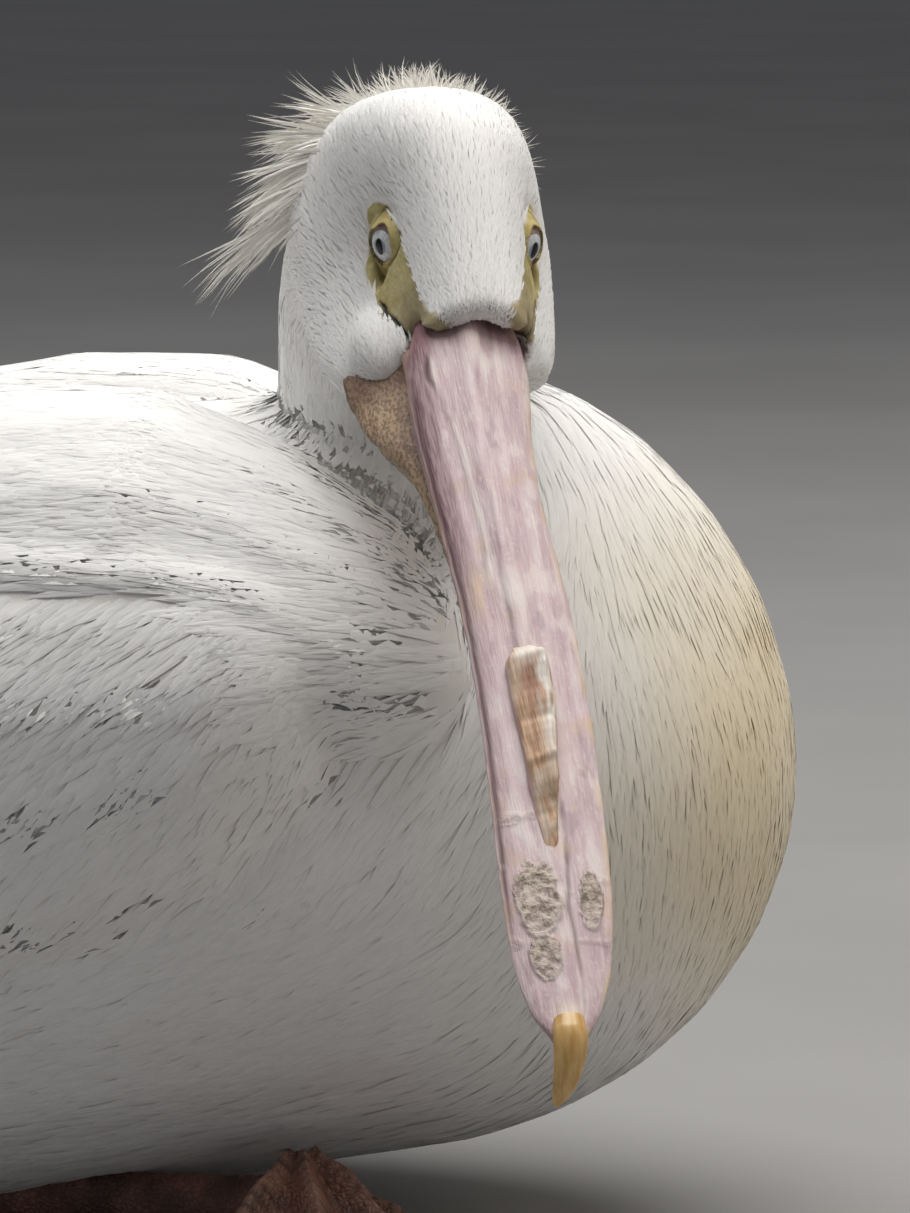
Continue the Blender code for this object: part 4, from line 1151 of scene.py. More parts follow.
def tone_of(points, size, seed):
    """A lightness for each vane: patches of the coat and a little chance."""
    return np.clip(0.62 + 0.3 * noise(points, size, seed) + RANDOM.normal(0, 0.16, len(points)), 0, 1)


def flat_relief(points):
    """No edge to stand over."""
    return np.zeros(len(points))


def regions(points):
    """The name of the form that each point of the skin lies nearest to."""
    forms = {"body": BODY, "head": NECK}
    forms.update({f"scapulars_{side}": SCAPULARS[side] for side in SIDES})
    forms.update({f"wing_{side}": WINGS[side] for side in SIDES})
    far = np.stack([distance_to(points, form) for form in forms.values()])
    return np.array(list(forms))[far.argmin(0)]


def cover(
    name, roots, flow, sizes, finish, unwrap, stray, relief=flat_relief, steps=4, depth=BODY_COAT, patches=20
):
    """Combs plumes over the skin from their roots and builds their vanes.

    Sizes are each vane's length, width and height over the coat; patches of tone are in millimetres.
    """
    length, width, high = sizes
    places, outs, flat = comb(SKIN, roots, flow, length, steps, stray)
    height = heights(places, relief, depth, high)
    tone = tone_of(roots, patches * MM, 3 + len(name))
    parts = (k[flat] for k in (places, outs, width, height))
    vanes(name, *parts, finish, "plumage", unwrap, tone[flat])


def draw(roots, low, high):
    """One chance number from low to high for each root."""
    return RANDOM.uniform(low, high, len(roots))


def coat_head(roots):
    """Short plush plumes, smallest towards the bill, longer down the neck."""
    q = to_head(roots)
    body = ease(-0.045, -0.075, q[:, 2])
    size = 7.0 + 5.5 * ease(0.0, -0.06, q[:, 0]) + 8.0 * body
    size *= 1 - 0.35 * ease(0.020, 0.045, q[:, 0])
    # Plumes that meet the bare skin stop short of it.
    ahead_q = to_head(roots + unit(head_flow(roots)) * size[:, None] * MM)
    size *= 1 - 0.5 * ease(-0.3, 0.8, inside_bare(ahead_q))
    length = size * MM * draw(roots, 0.75, 1.3)
    width = length * (0.15 + 0.26 * body) + 0.35 * MM
    high = draw(roots, -0.03, 0.06) * MM
    finish = plume_finish("head_plumes", barb=0.2)
    sizes = (length, width, high)
    fine = {"steps": 3, "depth": HEAD_COAT, "patches": 9}
    cover("coat_head", roots, head_flow, sizes, finish, round_head, 0.15, **fine)
    coat_fringe(finish)


def coat_fringe(finish):
    """Short plumes at the forehead's front edge, which hang over the root of the bill."""

    def weight(points, ways):
        q = to_head(points)
        plumed = ease(-0.6, -1.4, inside_bare(q))
        upward = ease(-0.2, 0.2, (ways * UP).sum(-1))
        return plumed * ease(0.043, 0.047, q[:, 0]) * (q[:, 2] > -0.002) * upward

    def forward(points):
        q = to_head(points)
        return FORWARD - 0.2 * UP + 4.0 * q[:, 1:2] * LEFT

    roots = scatter(NECK, FRINGE_ROOTS, weight)
    length = draw(roots, 1.8, 3.6) * MM
    high = draw(roots, 0.0, 0.3) * MM
    width = draw(roots, 0.5, 0.9) * MM
    sizes = (length, width, high)
    cover("coat_fringe", roots, forward, sizes, finish, round_head, 0.35, steps=3, depth=HEAD_COAT)


def coat_body(roots):
    """The breast, belly, flanks and back: narrow plumes in front, wider behind, short under the tail."""
    x, z = roots[:, 0], roots[:, 2]
    front = ease(0.19, 0.27, x)
    length = (28 + 8 * front) * MM * draw(roots, 0.7, 1.25)
    length *= 1 - 0.5 * ease(0.262, 0.30, z)
    length *= 1 - 0.55 * ease(-0.19, -0.25, x)
    width = (6.0 + 0.8 * ease(0.1, -0.1, x) - 1.6 * front) * MM * draw(roots, 0.6, 1.3)
    width *= 1 + 0.6 * ease(0.20, 0.25, z)
    high = draw(roots, -0.05, 0.10) * MM
    finish = plume_finish("body_plumes")
    cover("coat_body", roots, body_flow, (length, width, high), finish, ROUND_BODY, 0.07, patches=30)


def coat_skirt():
    """The long plumes of the neck, which hang over the breast and end in ragged points."""
    roots = scatter(SKIN, SKIRT_ROOTS, lambda points, ways: near_skirt(points))
    roots = roots[~buried(roots, NECK, 0.0)]
    length = draw(roots, 24, 46) * MM
    width = draw(roots, 2.0, 4.4) * MM
    high = draw(roots, 0.05, 0.5) * MM
    finish = plume_finish("skirt_plumes")
    sizes = (length, width, high)
    cover("coat_skirt", roots, body_flow, sizes, finish, ROUND_BODY, 0.06, steps=6, patches=12)


def near_skirt(points):
    """1 in the band where the skirt's plumes are rooted, on the front of the breast."""
    x, z = points[:, 0], points[:, 2]
    edge = SKIRT_Z - 0.36 * (x - 0.25) + noise(points, 14 * MM, 17) * 5 * MM
    return ease(0.215, 0.255, x) * ease(-0.002, 0.004, z - edge) * ease(0.042, 0.020, z - edge)


SKIRT_Z = 0.236


def coat_scapulars(side, roots):
    """The shoulder's long lance-shaped plumes."""
    length = draw(roots, 24, 44) * MM
    width = draw(roots, 4.0, 7.2) * MM
    high = draw(roots, -0.05, 0.12) * MM
    unwrap = around(roots[:, 1].mean(), 0.19, -0.21, 0.26)
    sizes = (length, width, high)
    cover(f"coat_scapulars_{side}", roots, scapular_flow, sizes, SCAPULAR_FINISH, unwrap, 0.05, steps=5)


def coat_wing(side, roots):
    """The wing's small coverts, shortest at its front edge."""
    x = roots[:, 0]
    front = ease(-0.06, 0.10, x)
    length = (28 + 8 * (1 - front)) * MM * draw(roots, 0.7, 1.25)
    length *= 1 - 0.45 * ease(0.16, 0.195, x)
    width = (6.0 + 1.2 * (1 - front)) * MM * draw(roots, 0.6, 1.3)
    high = draw(roots, -0.05, 0.12) * MM
    unwrap = around(roots[:, 1].mean() * 0.6, 0.16, -0.39, 0.21)
    cover(f"coat_wing_{side}", roots, wing_flow, (length, width, high), WING_FINISH, unwrap, 0.05, wing_edge)


def coat_tail():
    """The coverts that lie over the roots of the tail feathers."""
    roots = scatter(TAIL, TAIL_ROOTS, lambda points, ways: ease(-0.33, -0.24, points[:, 0]))
    roots = roots[~buried(roots, BODY, 2 * MM)]
    length = 26 * MM * draw(roots, 0.8, 1.2)
    width = 4.6 * MM * draw(roots, 0.8, 1.2)
    places, outs, flat = comb(TAIL, roots, tail_flow, length, 4, 0.10)
    high = draw(roots, 0.1, 0.6) * MM
    height = heights(places, flat_relief, 0.0, high)
    tone = tone_of(roots, 20 * MM, 7)
    parts = (k[flat] for k in (places, outs, width, height))
    vanes("coat_tail", *parts, WING_FINISH, "plumage", ROUND_TAIL, tone[flat])


ROOTS = 56000  # of the plumes over the whole skin


def coat_all():
    """Roots over the whole skin, closest on the head, then each region's own plumes."""

    def weight(points, ways):
        q = to_head(points)
        plumed = np.where(np.linalg.norm(q, axis=1) < 0.09, ease(0.5, -0.3, inside_bare(q)), 1.0)
        head = ease(0.238, 0.280, points[:, 2]) * ease(0.10, 0.13, points[:, 0])
        collar = ease(0.19, 0.23, points[:, 2]) * ease(0.15, 0.19, points[:, 0])
        face = ease(-0.05, -0.02, q[:, 0]) + 0.9 * ease(0.0, 0.02, q[:, 0])
        trunk = 1 + 0.5 * ease(0.05, 0.18, points[:, 0])
        trunk = trunk - 0.45 * (ways[:, 2] < -0.6) - 0.3 * (ways[:, 1] > 0.3)
        total = (trunk + 2.0 * collar) * (1 - head) + head * (5.5 + 6.0 * face) * plumed
        return total * (points[:, 2] > 0.001)

    roots = scatter(SKIN, ROOTS, weight)
    region = regions(roots)
    coat_head(roots[region == "head"])
    coat_body(roots[region == "body"])
    coat_skirt()
    for side in SIDES:
        coat_scapulars(side, roots[region == f"scapulars_{side}"])
        wing = roots[region == f"wing_{side}"]
        coat_wing(side, wing[wing[:, 0] > WING_FLESH_END + 0.004])


def quills(name, spines, outs, sides, width, finish, slot, nodes, unwrap, tone, blunt, tilt=0.10):
    """Flight feathers as thin closed slabs, cambered and tilted over the next.

    Width swells fast from the root and rounds off at the tip; the midrib stands up as a fine ridge.
    """
    count, stations = spines.shape[:2]
    columns = 7
    t = np.linspace(0, 1, stations)
    s = np.linspace(-1, 1, columns)
    swell = np.minimum(1, 0.3 + 3.5 * t) * (1 - t ** (3 + 8 * blunt)) ** 0.7
    swell[-1] = 0.04
    half = 0.5 * width[:, None, None] * (swell[:, None] * s[None])[None]
    rib = 0.35 * MM * bump(s, 0, 0.12)[None, None] * (1 - t)[None, :, None]
    camber = -0.5 * tilt * np.abs(half) + tilt * half
    base = spines[:, :, None] + sides[:, :, None] * half[..., None]
    out = outs[:, :, None]
    over = base + out * (camber + rib + 0.25 * MM)[..., None]
    under = base + out * (camber - 0.25 * MM)[..., None]
    points = np.concatenate([over.reshape(count, -1, 3), under.reshape(count, -1, 3)], 1)
    each = points.shape[1]
    step = (np.arange(count) * each)[:, None, None]
    quads = slab_faces(stations, columns)
    mesh = build_mesh(name, points.reshape(-1, 3), [(quads + step).reshape(-1, 4)])
    turn_outwards(mesh)
    ss = np.tile(np.tile(s, stations), 2)
    ts = np.tile(np.repeat(t, columns), 2)
    patch = np.stack([ss * 0.5, ts - 0.5], -1) * PATCH
    set_uv(mesh, "OFBake", (unwrap(spines[:, 0])[:, None] + patch).reshape(-1, 2))
    barb = ts * 24 - np.abs(ss) * 3.2
    lie = np.stack([barb, ss * 0.6], -1)[None] + RANDOM.random((count, 1, 2)) * 40
    set_uv(mesh, "Vane", lie.reshape(-1, 2))
    set_number(mesh, "tone", np.repeat(tone, each))
    # How far along each feather a point lies; the material paints shade towards the root from it.
    set_number(mesh, "out", np.tile(0.4 + 0.6 * ts, count))
    add_piece(name, mesh, finish, slot, *nodes)


STATIONS = 14  # along each flight feather
WING_SPREAD = ((-0.38, 0.03), (-0.28, 0.06), (-0.18, 0.09), (-0.08, 0.124), (0.02, 0.144), (0.2, 0.14))
COVERT_ROWS = (  # feathers in a row, where it starts and ends (x, then z), and their length and width in mm
    (11, 0.045, -0.120, 0.122, 0.150, 72, 23),
    (11, 0.050, -0.125, 0.142, 0.166, 66, 21),
    (12, 0.030, -0.150, 0.165, 0.186, 84, 22),
)


def make_flight_feathers(side):
    """Rows along the folded wing: white greater coverts and tertials over black primaries."""
    sign = SIGN[side]
    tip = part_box(f"wing_{side}_primaries")[0].x + 0.004
    unwrap = around(sign * 0.08, 0.16, -0.39, 0.21)

    def row_flow(points):
        return rows_of(-np.ones(len(points)), 0, -0.05)

    def lay(name, x, z, length, width, lift, finish, slot, nodes, tone, blunt, level=None):
        """Combs one row of feathers back over the wing, each lifted more towards its tip."""
        roots = rows_of(x, sign * 0.4, z)
        roots[:, 1] = sign * np.interp(x, *np.array(WING_SPREAD).T)
        spines, outs, _ = comb(WINGS[side], roots, row_flow, length, STATIONS - 1, 0.02)
        sides = unit(np.cross(outs, unit(np.gradient(spines, axis=1)))) * sign
        spines = spines + outs * (lift[:, None, None] * np.linspace(0.2, 1, STATIONS)[None, :, None])
        width = np.full(len(x), width * MM)
        whole = f"{name}_{side}" if level is None else f"{name}_{side}_{level}"
        quills(whole, spines, outs, sides, width, finish, slot, nodes, unwrap, tone(len(x)), blunt)

    # Primaries: seven black feathers, the longest reaching the wing's tip.
    k = np.linspace(0, 1, 7)
    x = -0.150 - 0.035 * k
    length = (x - tip) * (0.80 + 0.20 * k)
    node = [f"wing_{side}_primaries"]
    black = (BLACK_FINISH, "flight_feather", node, RANDOM.random, 0.1)
    lay("primaries", x, 0.150 + 0.034 * k, length, 24, (0.4 + 1.2 * k) * MM, *black)
    # Secondaries: a row of white feathers along the lower edge, nearly hidden.
    k = np.linspace(0, 1, 12)
    x = 0.010 - 0.150 * k
    length = np.full(12, 110 * MM)
    node = [f"wing_{side}_secondaries"]
    white = (WING_FINISH, "plumage", node, lambda count: 0.4 + 0.5 * RANDOM.random(count), 0.6)
    lay("secondaries", x, 0.100 + 0.030 * k, length, 25, (0.3 + 0.8 * k) * MM, *white)
    # Greater coverts and tertials: three rows, each higher row over the last.
    white = (WING_FINISH, "plumage", (), lambda count: 0.4 + 0.6 * RANDOM.random(count), 0.8)
    for level, (count, x0, x1, z0, z1, long, wide) in enumerate(COVERT_ROWS):
        k = np.linspace(0, 1, count)
        length = long * MM * RANDOM.uniform(0.93, 1.07, count)
        lift = (1.0 + 0.7 * level + 0.9 * k) * MM
        lay("covert_row", x0 + (x1 - x0) * k, z0 + (z1 - z0) * k, length, wide, lift, *white, level + 1)


TAIL_FEATHERS = 20


def make_tail():
    """Twenty tail feathers in a fan, the middle ones on top."""
    low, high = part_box("tail")
    count = TAIL_FEATHERS
    stations = 14
    across = np.linspace(-1, 1, count)
    order = np.argsort(-np.abs(across))
    across = across[order]
    angle = across * math.radians(19.0)
    t = np.linspace(0, 1, stations)
    root_x = high.x - 0.045
    length = (root_x - low.x - 0.002) * (1 - 0.08 * across**2)
    reach = length[:, None] * t
    x = root_x - reach * np.cos(angle)[:, None]
    y = 0.030 * across[:, None] + reach * np.sin(angle)[:, None]
    z = 0.146 - 0.021 * t[None] - 0.010 * across[:, None] ** 2 + 0.0006 * np.arange(count)[:, None] * 0.5
    spines = np.stack([x, y, z], -1)
    ahead = unit(np.gradient(spines, axis=1))
    outs = np.tile(np.array([0.0, 0.0, 1.0]), (count, stations, 1))
    outs[..., 1] = 0.25 * across[:, None]
    outs = unit(outs - ahead * (outs * ahead).sum(-1, keepdims=True))
    sides = unit(np.cross(outs, ahead))
    unwrap = around(0, 0.13, -0.38, -0.2)
    width = np.full(count, 25 * MM)
    tone = 0.5 + 0.5 * RANDOM.random(count)
    look = (WING_FINISH, "plumage", ["tail"], unwrap, tone, 0.7, 0.06)
    quills("tail_feathers", spines, outs, sides, width, *look)


# The crest, as in the solids: a fan of locks from the nape, longest on the bird's right.
CREST_AT = np.array([-0.056, 0.000, -0.005])
CREST_TILT = math.radians(42.0)
CREST_FROM = math.radians(-22.0)
CREST_TO = math.radians(214.0)
CREST_LOCKS = 34
#             degrees  reach
CREST_REACH = (
    (-22, 0.040),
    (0, 0.037),
    (20, 0.034),
    (60, 0.025),
    (100, 0.030),
    (140, 0.031),
    (152, 0.042),
    (165, 0.054),
    (180, 0.066),
    (200, 0.082),
    (211, 0.096),
    (214, 0.086),
)


def make_crest():
    """Wisps in locks: each wisp runs out from the nape, bends towards its lock's tip and thins to a hair.

    A wisp's reach follows the fan, short over the left and the crown and long on the right. Its place is
    the fan's angle and radius, plus a curl that grows with the square of the way out.
    """
    count = WISPS
    share = (np.arange(count) + RANDOM.random(count)) / count
    share = share ** 0.85  # more of them on the right, where the locks are long
    lock = np.floor(share * CREST_LOCKS)
    centre = (lock + 0.5 + 0.3 * np.sin(lock * 4.7)) / CREST_LOCKS
    turned = np.degrees(CREST_FROM + (CREST_TO - CREST_FROM) * share)
    full = along(CREST_REACH, turned)[0] * (0.86 + 0.16 * np.sin(lock * 2.9 + 1))
    reach = full * (1 - 0.55 * RANDOM.random(count) ** 1.5)
    stations = 8
    t = np.linspace(0, 1, stations)[None]
    pull = RANDOM.uniform(0.35, 0.95, count)[:, None]
    drawn = share[:, None] + (centre - share)[:, None] * pull * t**1.3
    grow = ease(140, 200, turned)[:, None]
    stray = RANDOM.normal(0, 0.11, count)[:, None] * t**2 * (1.5 - grow)
    angle = CREST_FROM + (CREST_TO - CREST_FROM) * drawn + stray
    angle = angle + grow * (0.16 * t**2 - 0.10)
    radius = 0.008 + (reach - 0.008)[:, None] * t
    ahead = RANDOM.normal(0, 1.0, count)[:, None] * (3.0 * MM + 4 * MM * t)
    ahead = ahead - 0.010 * t**2 * reach[:, None] / 0.098
    side, up = radius * np.cos(angle), radius * np.sin(angle)
    points = np.stack(
        [
            CREST_AT[0] - up * math.sin(CREST_TILT) + ahead * math.cos(CREST_TILT),
            CREST_AT[1] + side,
            CREST_AT[2] + up * math.cos(CREST_TILT) + ahead * math.sin(CREST_TILT),
        ],
        -1,
    )
    places = from_head(points.reshape(-1, 3)).reshape(count, stations, 3)
    facing = np.array([math.cos(CREST_TILT), 0.0, math.sin(CREST_TILT)]) @ HEAD_AXES
    outs = unit(facing + 0.35 * RANDOM.normal(size=(count, 1, 3)) * np.ones((1, stations, 1)))
    width = RANDOM.uniform(0.8, 1.7, count) * MM * (0.8 + 0.5 * grow[:, 0])
    height = np.zeros((count, stations))
    finish = plume_finish("crest_wisps", "FBF8F0", barb=0.3)
    tone = np.clip(0.6 + 0.3 * RANDOM.normal(size=count), 0, 1)
    name = "crest_plumes"
    vanes(name, places, outs, width, height, finish, "crest_plume", round_head, tone, nodes=["crest"])


# ---------------------------------------------------------------- bill

#        share of length  half width  height of the culmen  depth below the gape line
UPPER_BILL = (
    (-0.04, 0.0120, 0.0100, 0.0080),
    (0.00, 0.0150, 0.0108, 0.0080),
    (0.05, 0.0180, 0.0108, 0.0074),
    (0.10, 0.0190, 0.0098, 0.0066),
    (0.20, 0.0175, 0.0082, 0.0058),
    (0.30, 0.0165, 0.0068, 0.0050),
    (0.60, 0.0165, 0.0044, 0.0036),
    (0.80, 0.0162, 0.0034, 0.0030),
    (0.90, 0.0144, 0.0032, 0.0028),
    (0.965, 0.0104, 0.0030, 0.0026),
    (1.00, 0.0052, 0.0028, 0.0024),
)
#        share of length  half width  thickness
LOWER_BILL = (
    (0.00, 0.0196, 0.0100),
    (0.25, 0.0158, 0.0080),
    (0.60, 0.0138, 0.0058),
    (0.85, 0.0130, 0.0046),
    (0.97, 0.0068, 0.0034),
)
#        share of length  half width  depth   shift to the bird's left
POUCH = (
    (-0.01, 0.0235, 0.0225, -0.0125),
    (0.02, 0.0235, 0.0220, -0.0122),
    (0.06, 0.0225, 0.0200, -0.0109),
    (0.10, 0.0205, 0.0170, -0.0094),
    (0.15, 0.0175, 0.0130, -0.0069),
    (0.20, 0.0155, 0.0090, -0.0036),
    (0.25, 0.0148, 0.0064, -0.0017),
    (0.30, 0.0144, 0.0052, -0.0010),
    (0.45, 0.0110, 0.0050, 0.0000),
    (0.70, 0.0082, 0.0040, 0.0000),
    (0.82, 0.0030, 0.0022, 0.0000),
)


def bill_points(share, y, z):
    """Points beside the bill's middle line, in the head's axes: the bill bows a little to the right."""
    x = BILL_START + (BILL_END - BILL_START) * share
    bend = np.maximum(share, 0) ** 2
    bow = -0.0058 * bump(share, 0.20, 0.22)
    return rows_of(x, y + bow + BILL_SIDE_BEND * bend, z + BILL_DROOP * bend)


ALONG_BILL = (0.12, 1, 1)  # draws the horn's fibres out along the bill
# Worn lines along the blade, sunk and coloured dark as painted shade: the share of its length, and the way
# across from -1 to 1.
SIDE_LINE = (
    (0.06, -0.70),
    (0.10, -0.66),
    (0.14, -0.52),
    (0.20, -0.42),
    (0.30, -0.36),
    (0.36, -0.40),
    (0.42, -0.50),
)
RIDGE_LINE = (
    (0.27, -0.02),
    (0.33, -0.08),
    (0.40, -0.21),
    (0.52, -0.20),
    (0.60, -0.28),
    (0.68, -0.21),
    (0.78, -0.14),
)
LOW_LINE = ((0.70, 0.25), (0.78, 0.22), (0.84, 0.19), (0.90, 0.28), (0.95, 0.42), (0.99, 0.60))
# Flaking patches: their place along and across the blade, and their half lengths.
CRUSTS = ((0.832, -0.38, 0.048, 0.40), (0.830, 0.60, 0.036, 0.22), (0.903, -0.36, 0.026, 0.32))


def beside_line(s, share, table, wide, shift=0.0):
    """1 on a worn line, falling to 0 beside it and at its ends."""
    at = np.interp(share, *np.array(table).T) + shift
    ends = ease(table[0][0], table[0][0] + 0.02, share) * ease(table[-1][0], table[-1][0] - 0.03, share)
    return bump(s, at, wide) * ends


def window(values, low, high, soft):
    """1 between low and high, with soft ends."""
    return ease(low - soft, low + soft, values) * ease(high + soft, high - soft, values)


def make_upper_bill():
    """A flat blade: an arched roof with a raised middle ridge, worn lines, fibres and crust.

    The section's roof is (1 - s^2)^0.6 with a bell round s = 0 on top, s being the way across from -1 to 1.
    """
    share = np.linspace(UPPER_BILL[0][0], 1, 420)[:, None]
    half, culmen, depth = (k[:, None] for k in along(UPPER_BILL, share[:, 0]))
    turn = np.linspace(0, 1, 81)[:-1]
    s_top = -np.cos(math.pi * turn)
    s_under = np.cos(math.pi * np.linspace(0, 1, 25)[:-1])
    arch = np.maximum(1 - s_top**2, 0) ** 0.6 * 0.74 + 0.26 * bump(s_top, 0, 0.26)
    top = bill_points(share, half * s_top, GAPE_Z + culmen * arch)
    under = bill_points(share, half * s_under, GAPE_Z - depth * np.maximum(1 - s_under**6, 0) ** 0.5)
    rings = np.concatenate([top, under], 1)
    s = np.concatenate([s_top, s_under])[None] + 0 * share
    on_top = np.concatenate([np.ones(80), np.zeros(24)])[None] + 0 * share
    worn = grain(rings, 9 * MM, 21)
    sway = 0.03 * worn
    side_line = beside_line(s + sway, share, SIDE_LINE, 0.045)
    ridge_line = beside_line(s + sway, share, RIDGE_LINE, 0.040)
    low_line = beside_line(s + sway, share, LOW_LINE, 0.040)
    margin = 0.8 * bump(s, -0.93, 0.05) * ease(0.05, 0.15, share) * ease(0.9, 0.8, share)
    broken_line = 0.35 + 0.65 * ease(-0.2, 0.5, grain(rings, 5 * MM, 27, (0.5, 1, 1)))
    side_line = side_line * (0.25 + 0.75 * ease(0.13, 0.09, share))
    lines = [side_line, 0.8 * ridge_line * broken_line, 0.7 * low_line * broken_line, margin]
    shaded_groove = np.maximum.reduce(lines)
    lumps = grain(rings, 3.2 * MM, 22) + 0.6 * grain(rings, 1.5 * MM, 23)
    specks = window(share, 0.66, 0.98, 0.03) * window(np.abs(s), 0.2, 0.95, 0.1)
    broken = grain(rings, 6 * MM, 24)
    crust = np.zeros_like(s)
    disc = np.zeros_like(s)
    for at, across, long, wide in CRUSTS:
        far = np.sqrt(((share - at) / long) ** 2 + ((s - across) / wide) ** 2)
        far = far + 0.16 * broken + 0.12 * lumps
        crust = np.maximum(crust, ease(1.08, 0.92, far))
        disc = np.maximum(disc, bump(far, 0.97, 0.07) * ease(-0.3, 0.3, broken + (share - at) / long))
    flakes = crust * (0.75 + 0.25 * ease(-0.3, 0.3, broken))
    scurf = np.maximum(flakes, 0.45 * specks * ease(0.3, 0.8, broken))
    scurf = np.clip(scurf, 0, 1) * on_top
    disc *= on_top
    long_grain = grain(rings, 1.6 * MM, 25, ALONG_BILL)
    lift = -0.75 * shaded_groove + 0.18 * long_grain + 0.55 * scurf * lumps
    lift = lift + 0.25 * worn * ease(0.3, 0.6, share) + 0.9 * disc
    rings[..., 2] += lift * MM * on_top * ease(1.0, 0.97, share)
    wavy = noise(rings.reshape(-1, 3) * np.array([1, 0, 0]) + 5.0, 6 * MM, 26).reshape(s.shape)
    rings[..., 1] += 0.25 * MM * wavy * (np.abs(s) > 0.9)
    pale = 0.55 * bump(s, 0.12 + 0.1 * worn, 0.30) * ease(0.02, 0.06, share) * ease(0.16, 0.08, share)
    pale += 0.55 * bump(s, 0.0 + 0.1 * worn, 0.18) * ease(0.36, 0.44, share) * ease(0.66, 0.56, share)
    beside = 0.6 * beside_line(s + sway, share, SIDE_LINE, 0.05, 0.09)
    pale += beside + 0.4 * beside_line(s + sway, share, LOW_LINE, 0.05, -0.1)
    pale += 0.8 * bump(s, 0.1, 0.4) * ease(0.955, 0.975, share)
    pale = np.maximum(pale * ease(-0.7, 0.3, long_grain), 0.75 * disc)
    tan = bump(share, 0.415, 0.030) * bump(s, -0.58, 0.16) * ease(-0.5, 0.2, long_grain)
    edge = bump(s, 1.0, 0.10) * ease(0.05, 0.2, share) + 0.4 * bump(s, -1.0, 0.05)
    edge = edge * ease(-0.6, 0.5, worn) + tan
    band = ease(-0.52, -0.72, s + sway) * ease(0.50, 0.30, share)
    band = band + 0.35 * ease(-0.6, -0.8, s) * ease(0.28, 0.5, share)
    scurf = scurf * (1 - 0.7 * disc)
    marks = {"shaded_groove": shaded_groove, "scurf": scurf, "pale": pale, "edge": 0.6 * edge, "band": band}
    marks = {label: values * on_top for label, values in marks.items()}
    ringed_piece("bill_upper_horn", rings, marks, BILL_FINISH, "bill_horn", "bill_upper")


def make_lower_bill():
    """The lower half: a flattened tube under the blade, with a groove along each side."""
    share = np.linspace(-0.01, 0.97, 220)[:, None]
    half, thick = (k[:, None] for k in along(LOWER_BILL, share[:, 0]))
    depth = along(UPPER_BILL, np.maximum(share[:, 0], 0))[2][:, None]
    turn = circle(48)[None]
    dent = 1 - 0.05 * bump(np.sin(turn), -0.1, 0.22)
    level = GAPE_Z - 0.3 * depth - 0.5 * thick * (1 - np.sin(turn))
    rings = bill_points(share, half * np.cos(turn) * dent, level)
    fibres = grain(rings, 1.8 * MM, 31, ALONG_BILL)
    rings[..., 1] += 0.12 * MM * fibres * np.sign(np.cos(turn))
    marks = {"shaded_groove": 0.0, "scurf": 0.0, "pale": 0.0, "band": 0.6, "edge": 0.5 * ease(-0.3, 0.6, fibres)}
    ringed_piece("bill_lower_horn", rings, marks, BILL_FINISH, "bill_horn", "bill_lower")


def make_pouch():
    """The folded pouch: a keel under the lower bill, with long folds and fine wrinkles."""
    share = np.linspace(POUCH[0][0], POUCH[-1][0], 260)[:, None]
    half, depth, shift = (k[:, None] for k in along(POUCH, share[:, 0]))
    thick = along(LOWER_BILL, np.maximum(share[:, 0], 0))[1][:, None]
    turn = circle(96)[None]
    fall = (depth + 0.5 * thick) * (1 - np.sin(turn)) / 2
    # Under the cheek its upper side is narrow.
    narrow = 1 - 0.62 * ease(0.16, 0.06, share) * np.clip(np.sin(turn) + 0.35, 0, 1)
    rings = bill_points(share, half * np.cos(turn) * narrow + shift, GAPE_Z - 0.5 * thick - fall)
    folds = grain(rings, 3.4 * MM, 41, (0.10, 1, 1))
    fine = grain(rings, 1.3 * MM, 42, (0.4, 1, 1))
    size = ease(POUCH[-1][0], 0.5, share) * 0.8 + 0.2
    rings[..., 1] += (0.9 * folds + 0.3 * fine) * MM * np.cos(turn) * size
    rings[..., 2] += 0.3 * MM * fine * np.sin(turn) * size
    rim = ease(-0.80, -0.97, np.cos(turn) + 0.10 * folds)
    ringed_piece("pouch_folds", rings, {"rim": rim}, pouch_finish(), "pouch_skin", "pouch")


RIDGE_SPAN = (0.495, 0.785)
RIDGE_HALF_WIDTH = 0.0056
RIDGE_HEIGHT = 0.0088


